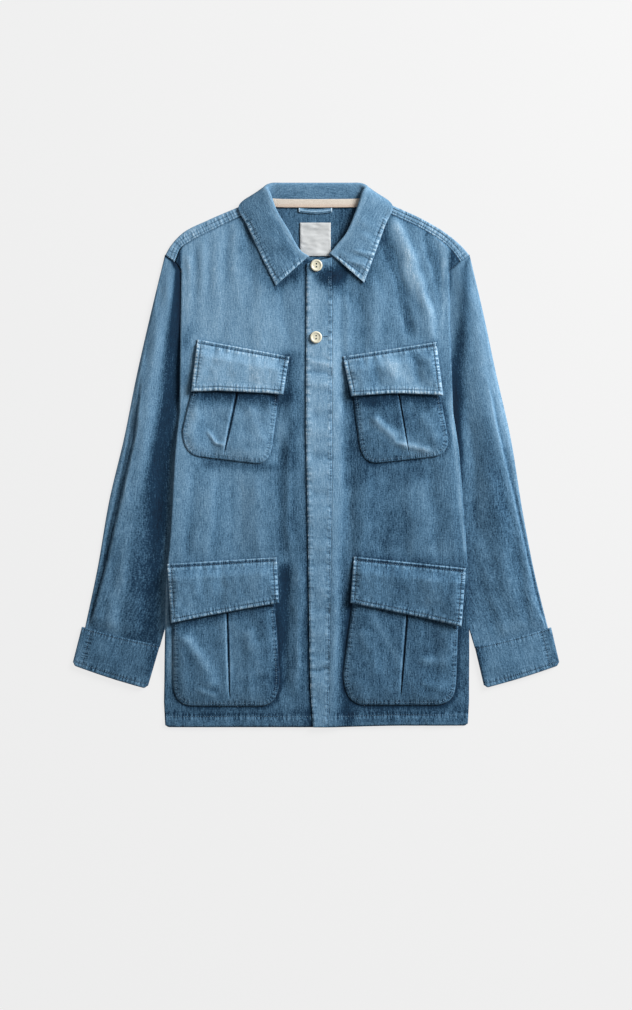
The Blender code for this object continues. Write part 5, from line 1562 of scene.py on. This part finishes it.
def makeFlap(place, sizes):
    topLeft, low, topRight = flapEdge(sizes)
    u, v = meshShares(*pocketForm["flapGrid"])
    plan = patch(low, (topLeft, topRight), (low[0], topLeft), (low[-1], topRight), u, v)
    x, y = apart(plan)
    outline = np.vstack([topLeft, low, topRight])
    topEdge = np.array([topRight, topLeft])
    seam = movedLine(outline, pocketForm["flapStitchIn"])
    strip, thin = (movedLine(topEdge, pocketForm[key]) for key in ("strip", "thinLine"))
    inset, run = seamField(plan, [outline])
    fromTop, topRun = seamField(plan, [topEdge])
    seamGap, seamRun = seamField(plan, [seam, strip])
    fromStrip = fromTop - pocketForm["strip"]
    onStrip = smooth(-fromStrip / 1.2)

    standOff = 0.4 * smooth((0.5 - v) / 0.4)        # the lower edge stands off the bag
    overBag = (sizes["rise"] + 1.2) * smooth(np.minimum(inset / 18.0 + 0.15 + standOff, 1.0))
    overBag = (pocketForm["wall"] + 0.4 + overBag) * smooth(fromStrip / 20.0)
    ticks = 0.5 * noise(run, inset * 0.35, 4.6, 85) * smooth((8.5 - inset) / 4.0)
    radiate = 1.3 * noise(topRun, fromTop * 0.16, 7.0, 86) * np.exp(-fromStrip / 13.0)
    radiate = radiate * smooth((fromTop - 5.0) / 3.0)
    folds = creases(x, y, sizes["folds"], 89, 22.0)
    ridges = 0.7 * noise(x, y * 0.28, 14.0, 87) + 0.4 * noise(x, y, 9.0, 88) + folds
    ridges = ridges * smooth(inset / 10.0) * smooth((fromTop - 7.0) / 8.0)
    lift = 1.6 * smooth((14.0 - inset) / 14.0) * smooth((fromTop - 26.0) / 20.0) * smooth(u / 0.3 + 0.25)
    bead = (0.5 * bell(fromTop - 1.2, 0.9) + 0.4 * noise(topRun, fromTop * 0.2, 3.4, 90)) * onStrip
    form = overBag + ticks + radiate + ridges + lift + bead + 1.3 * smooth(fromStrip / 2.2)
    form = form - 0.5 * bell(seamGap, 1.1) - 0.9 * fade(np.minimum(inset, fromTop), 1.7)
    points = raised(plan, frontTop(x, y) + pocketForm["lay"] + pocketForm["flapWall"] + form)

    # wear where the flap stands up, painted light and shade on its folds, painted shade on the sewn strip
    # along its top and a painted highlight where the flap rises from it
    tone = bodyTone(x, y) + sizes["flapTone"] + 0.13 * standing(form, 5) + 0.07 * folds
    tone = tone - 0.2 * onStrip * smooth((fromTop - 1.4) / 1.4) + 0.06 * bell(fromStrip - 2.6, 1.6)
    rubbed = np.maximum(fade(inset - 1.0, 5.0), 0.8 * fade(fromTop, 2.4))
    look = {"tone": tone, "seamGap": seamGap, "seamRun": seamRun, "edge": rubbed}
    flap = shell("flap_" + place + "_cloth", points, pocketForm["flapWall"], plan, look, "up")
    settle(flap, "chambray_pale", ["flap_" + place])
    for line in (seam, strip, thin):
        sew("flaps", straight(line, np.linspace(0.02, 0.98, 120)), points)


# cream buttons with two holes, one above the other
button = {
    "radius": 9.0,
    "height": 3.2,
    "hole": 1.25,
    "holeLip": 1.16,
    "lipDepth": 0.192,
    "holeOffset": 0.24,
    "seat": 0.2,
    "places": ((0.6, 283.5), (0.0, 176.0)),
    # shares of the radius and the height, from the dish over the rim to the underside
    "profile": (
        (0.52, 0.7), (0.6, 0.74), (0.68, 0.9), (0.75, 0.99), (0.84, 1.0), (0.93, 0.93), (1.0, 0.66),
        (0.985, 0.4), (0.93, 0.14), (0.84, 0.0),
    ),
    "segments": 48,
    "holeSegments": 16,
    "sharp": 40.0,
    "stops": ((0.0, (0.47, 0.44, 0.31)), (0.5, (0.63, 0.6, 0.47)), (1.0, (0.75, 0.73, 0.62))),
}


def buttonFinish():
    add = nodeMaker("creamButton")
    value = add.weighted(0.5, ((0.9, add.clouds(170.0, 3.0)), (0.3, add.clouds(900.0, 1.0))))
    coat = {"Coat Weight": 0.15, "Coat Roughness": 0.25}
    return add.surface(add.ramp(value, button["stops"]), 0.36, 0.45, **coat)


def makeButton(node, place, finish):
    x, y = place
    centre = np.array([x, y, float(placketTop(np.array(x), np.array(y))) + button["seat"]])
    bm = bmesh.new()

    def ring(radius, height, offset=0.0, count=button["segments"]):
        angles = np.linspace(0.0, 2.0 * np.pi, count, endpoint=False)
        plan = paired(np.cos(angles) * radius, np.sin(angles) * radius + offset)
        return [bm.verts.new(tuple((centre + spot) * mm)) for spot in raised(plan, np.full(count, height))]

    def wall(upper, lower):
        for corners in zip(upper, lower, lower[1:] + lower[:1], upper[1:] + upper[:1]):
            bm.faces.new(corners)

    def loopEdges(verts):
        return [bm.edges.get(pair) or bm.edges.new(pair) for pair in zip(verts, verts[1:] + verts[:1])]

    profile = np.asarray(button["profile"]) * (button["radius"], button["height"])
    rings = [ring(*row) for row in profile]
    for upper, lower in zip(rings, rings[1:]):
        wall(upper, lower)
    top, under = loopEdges(rings[0]), loopEdges(rings[-1])
    dish = profile[0, 1]
    for side in (-1.0, 1.0):
        hole = {"offset": side * button["holeOffset"] * button["radius"], "count": button["holeSegments"]}
        lip = ring(button["hole"] * button["holeLip"], dish, **hole)
        neck = ring(button["hole"], dish - button["lipDepth"], **hole)
        foot = ring(button["hole"], 0.0, **hole)
        wall(lip, neck)
        wall(neck, foot)
        top += loopEdges(lip)
        under += loopEdges(foot)
    for edges in (top, under):
        bmesh.ops.triangle_fill(bm, edges=edges, use_beauty=True)
    bmesh.ops.recalc_face_normals(bm, faces=bm.faces)
    mesh = bpy.data.meshes.new(node + "_form")
    bm.to_mesh(mesh)
    bm.free()
    mesh.shade_smooth()
    mesh.set_sharp_from_angle(angle=np.radians(button["sharp"]))
    settle(addPiece(node + "_form", mesh), "button", [node], finish)


# stitches repeat along the laid paths
stitch = {
    "size": (2.5, 0.5, 0.36),           # length, width, height
    "facets": (5, 6),                   # along it and round it
    "lift": 0.12,
    "spacing": {"flaps": 3.3, "pockets": 3.4, "collar": 3.0, "cuffs": 3.3, "body": 3.6, "hole": 0.75},
    "uneven": ((0.82, 0.85, 0.85), (1.1, 1.15, 1.15)),
    "thread": ((0.0, (0.1, 0.2, 0.31)), (0.5, (0.19, 0.32, 0.45)), (1.0, (0.33, 0.47, 0.6))),
    "seed": 7,
}


def threadFinish():
    add = nodeMaker("blueThread")
    colour = add.ramp(add.weighted(0.5, ((1.1, add.clouds(420.0, 2.0)),)), stitch["thread"])
    return add.surface(colour, 0.8, 0.2)


# one stitch: a small spindle along x
def stitchForm():
    rings, sides = stitch["facets"]
    tilt, turn = np.pi * shares(rings + 1)[:, None], 2.0 * np.pi * shares(sides + 1)
    sphere = np.cos(tilt), np.sin(tilt) * np.sin(turn), np.sin(tilt) * np.cos(turn)
    places = np.stack(np.broadcast_arrays(*sphere), axis=-1) * stitch["size"] * mm / 2.0
    grid = numbered(rings + 1, sides + 1, True)[1]
    grid[0], grid[-1] = grid[0, 0], grid[-1, 0]
    used, faces = np.unique(cells(grid), return_inverse=True)
    faces = [tuple(dict.fromkeys(face)) for face in faces.reshape(-1, 4).tolist()]   # three-sided at the tips
    mesh = newMesh("stitchForm", places.reshape(-1, 3)[used].tolist(), [], faces)
    mesh.shade_smooth()
    return addPiece("stitchForm", mesh)


def stitchTree():
    tree = bpy.data.node_groups.new("stitching", "GeometryNodeTree")
    sockets = {
        "Geometry": "Geometry", "Spacing": "Float", "Stitch": "Object", "Finish": "Material", "Seed": "Int",
    }
    for label, kind in sockets.items():
        tree.interface.new_socket(label, in_out="INPUT", socket_type="NodeSocket" + kind)
    tree.interface.new_socket("Geometry", in_out="OUTPUT", socket_type="NodeSocketGeometry")
    add = partial(addNode, tree)
    given, result = add("NodeGroupInput"), add("NodeGroupOutput")
    line, sampled = add("GeometryNodeMeshToCurve"), add("GeometryNodeResampleCurve", mode="LENGTH")
    tangent, turn = add("GeometryNodeInputTangent"), add("FunctionNodeAlignRotationToVector", axis="X")
    info, place = add("GeometryNodeObjectInfo"), add("GeometryNodeInstanceOnPoints")
    real, coat = add("GeometryNodeRealizeInstances"), add("GeometryNodeSetMaterial")
    size = add("FunctionNodeRandomValue", data_type="FLOAT_VECTOR")
    size.inputs[0].default_value, size.inputs[1].default_value = stitch["uneven"]
    links = (
        (given, "Geometry", line, "Mesh"),
        (line, "Curve", sampled, "Curve"),
        (given, "Spacing", sampled, "Length"),
        (sampled, "Curve", place, "Points"),
        (given, "Stitch", info, "Object"),
        (info, "Geometry", place, "Instance"),
        (tangent, "Tangent", turn, "Vector"),
        (turn, "Rotation", place, "Rotation"),
        (given, "Seed", size, "Seed"),
        (size, 0, place, "Scale"),
        (place, "Instances", real, "Geometry"),
        (real, "Geometry", coat, "Geometry"),
        (given, "Finish", coat, "Material"),
        (coat, "Geometry", result, "Geometry"),
    )
    for source, output, target, field in links:
        tree.links.new(source.outputs[output], target.inputs[field])
    return tree


def makeStitching():
    thread, tree, form = threadFinish(), stitchTree(), stitchForm()
    names = {item.name: item.identifier for item in tree.interface.items_tree if item.in_out == "INPUT"}
    for group, paths in stitchPaths.items():
        spots, edges = [], []
        for path in paths:
            edges += [(len(spots) + place, len(spots) + place + 1) for place in range(len(path) - 1)]
            spots += [tuple(spot * mm) for spot in path + (0.0, 0.0, stitch["lift"])]
        lines = addPiece(group + "_lines", newMesh(group + "_lines", spots, edges, []))
        sewing = lines.modifiers.new("stitching", "NODES")
        sewing.node_group = tree
        sewing[names["Spacing"]] = stitch["spacing"][group] * mm
        sewing[names["Stitch"]] = form
        sewing[names["Finish"]] = thread
        sewing[names["Seed"]] = stitch["seed"]
        bpy.context.view_layer.update()
        ready = lines.evaluated_get(bpy.context.evaluated_depsgraph_get())
        done = bpy.data.meshes.new_from_object(ready)
        bpy.data.objects.remove(lines)
        done.name = group + "_stitches"
        done.shade_smooth()
        settle(addPiece(group + "_stitches", done), "chambray_pale", (), thread)
    bpy.data.objects.remove(form)


makeFronts()
back = makeBack()
makePlacket()
for maker, kind in ((makeSleeve, "sleeve"), (makeCuff, "cuff")):
    maker(kind + "_right", -1)
    maker(kind + "_left", 1)
makeCollar()
makeTape()
loop = makeLoop()
makeLabel()
for place, sizes in pockets.items():
    makePocket(place, sizes)
    makeFlap(place, sizes)
finish = buttonFinish()
for number, place in enumerate(button["places"], 1):
    makeButton("button_" + str(number), place, finish)
makeStitching()


# floor, light and camera
studio = {
    "floorSize": 30.0,
    "floorDrop": 0.0003,
    "floorColour": (0.08, 0.08, 0.08, 1.0),
    "floorGlow": 0.785,
    "cameraPlace": (0.0, -0.075, 3.4),
    "frameHeight": 1.515,        # what the picture takes in, metres
    "sensor": 36.0,
    "keyPlace": (2.5, 1.75, 1.75),
    "keySize": 1.8,
    "keyPower": 235.0,
    "fill": 0.24,
}


def addToScene(name, data, place):
    thing = addPiece(name, data)
    thing.location = place
    return thing


def makeStudio():
    scene = bpy.context.scene
    half, level = studio["floorSize"] / 2.0, -studio["floorDrop"]
    corners = [(x * half, y * half, level) for x, y in ((-1, -1), (1, -1), (1, 1), (-1, 1))]
    mesh = newMesh("floor", corners, [], [(0, 1, 2, 3)])
    glow = {"Emission Color": (1.0, 1.0, 1.0, 1.0), "Emission Strength": studio["floorGlow"]}
    mesh.materials.append(nodeMaker("paleFloor").surface(studio["floorColour"], 1.0, 0.0, **glow))
    addPiece("floor", mesh)

    light = bpy.data.lights.new("key", "AREA")
    light.shape = "DISK"
    light.size = studio["keySize"]
    light.energy = studio["keyPower"]
    key = addToScene("key", light, studio["keyPlace"])
    key.rotation_euler = (-key.location).to_track_quat("-Z", "Y").to_euler()

    world = bpy.data.worlds.new("studio")
    world.use_nodes = True
    background = world.node_tree.nodes["Background"]
    background.inputs["Color"].default_value = (1.0, 1.0, 1.0, 1.0)
    background.inputs["Strength"].default_value = studio["fill"]
    scene.world = world

    lens = bpy.data.cameras.new("camera")
    lens.sensor_fit = "VERTICAL"
    lens.sensor_height = studio["sensor"]
    lens.lens = studio["sensor"] * studio["cameraPlace"][2] / studio["frameHeight"]
    lens.clip_end = 50.0
    scene.camera = addToScene("camera", lens, studio["cameraPlace"])
    scene.view_settings.view_transform = "Standard"
    scene.view_settings.look = "None"


makeStudio()
print("studio made")
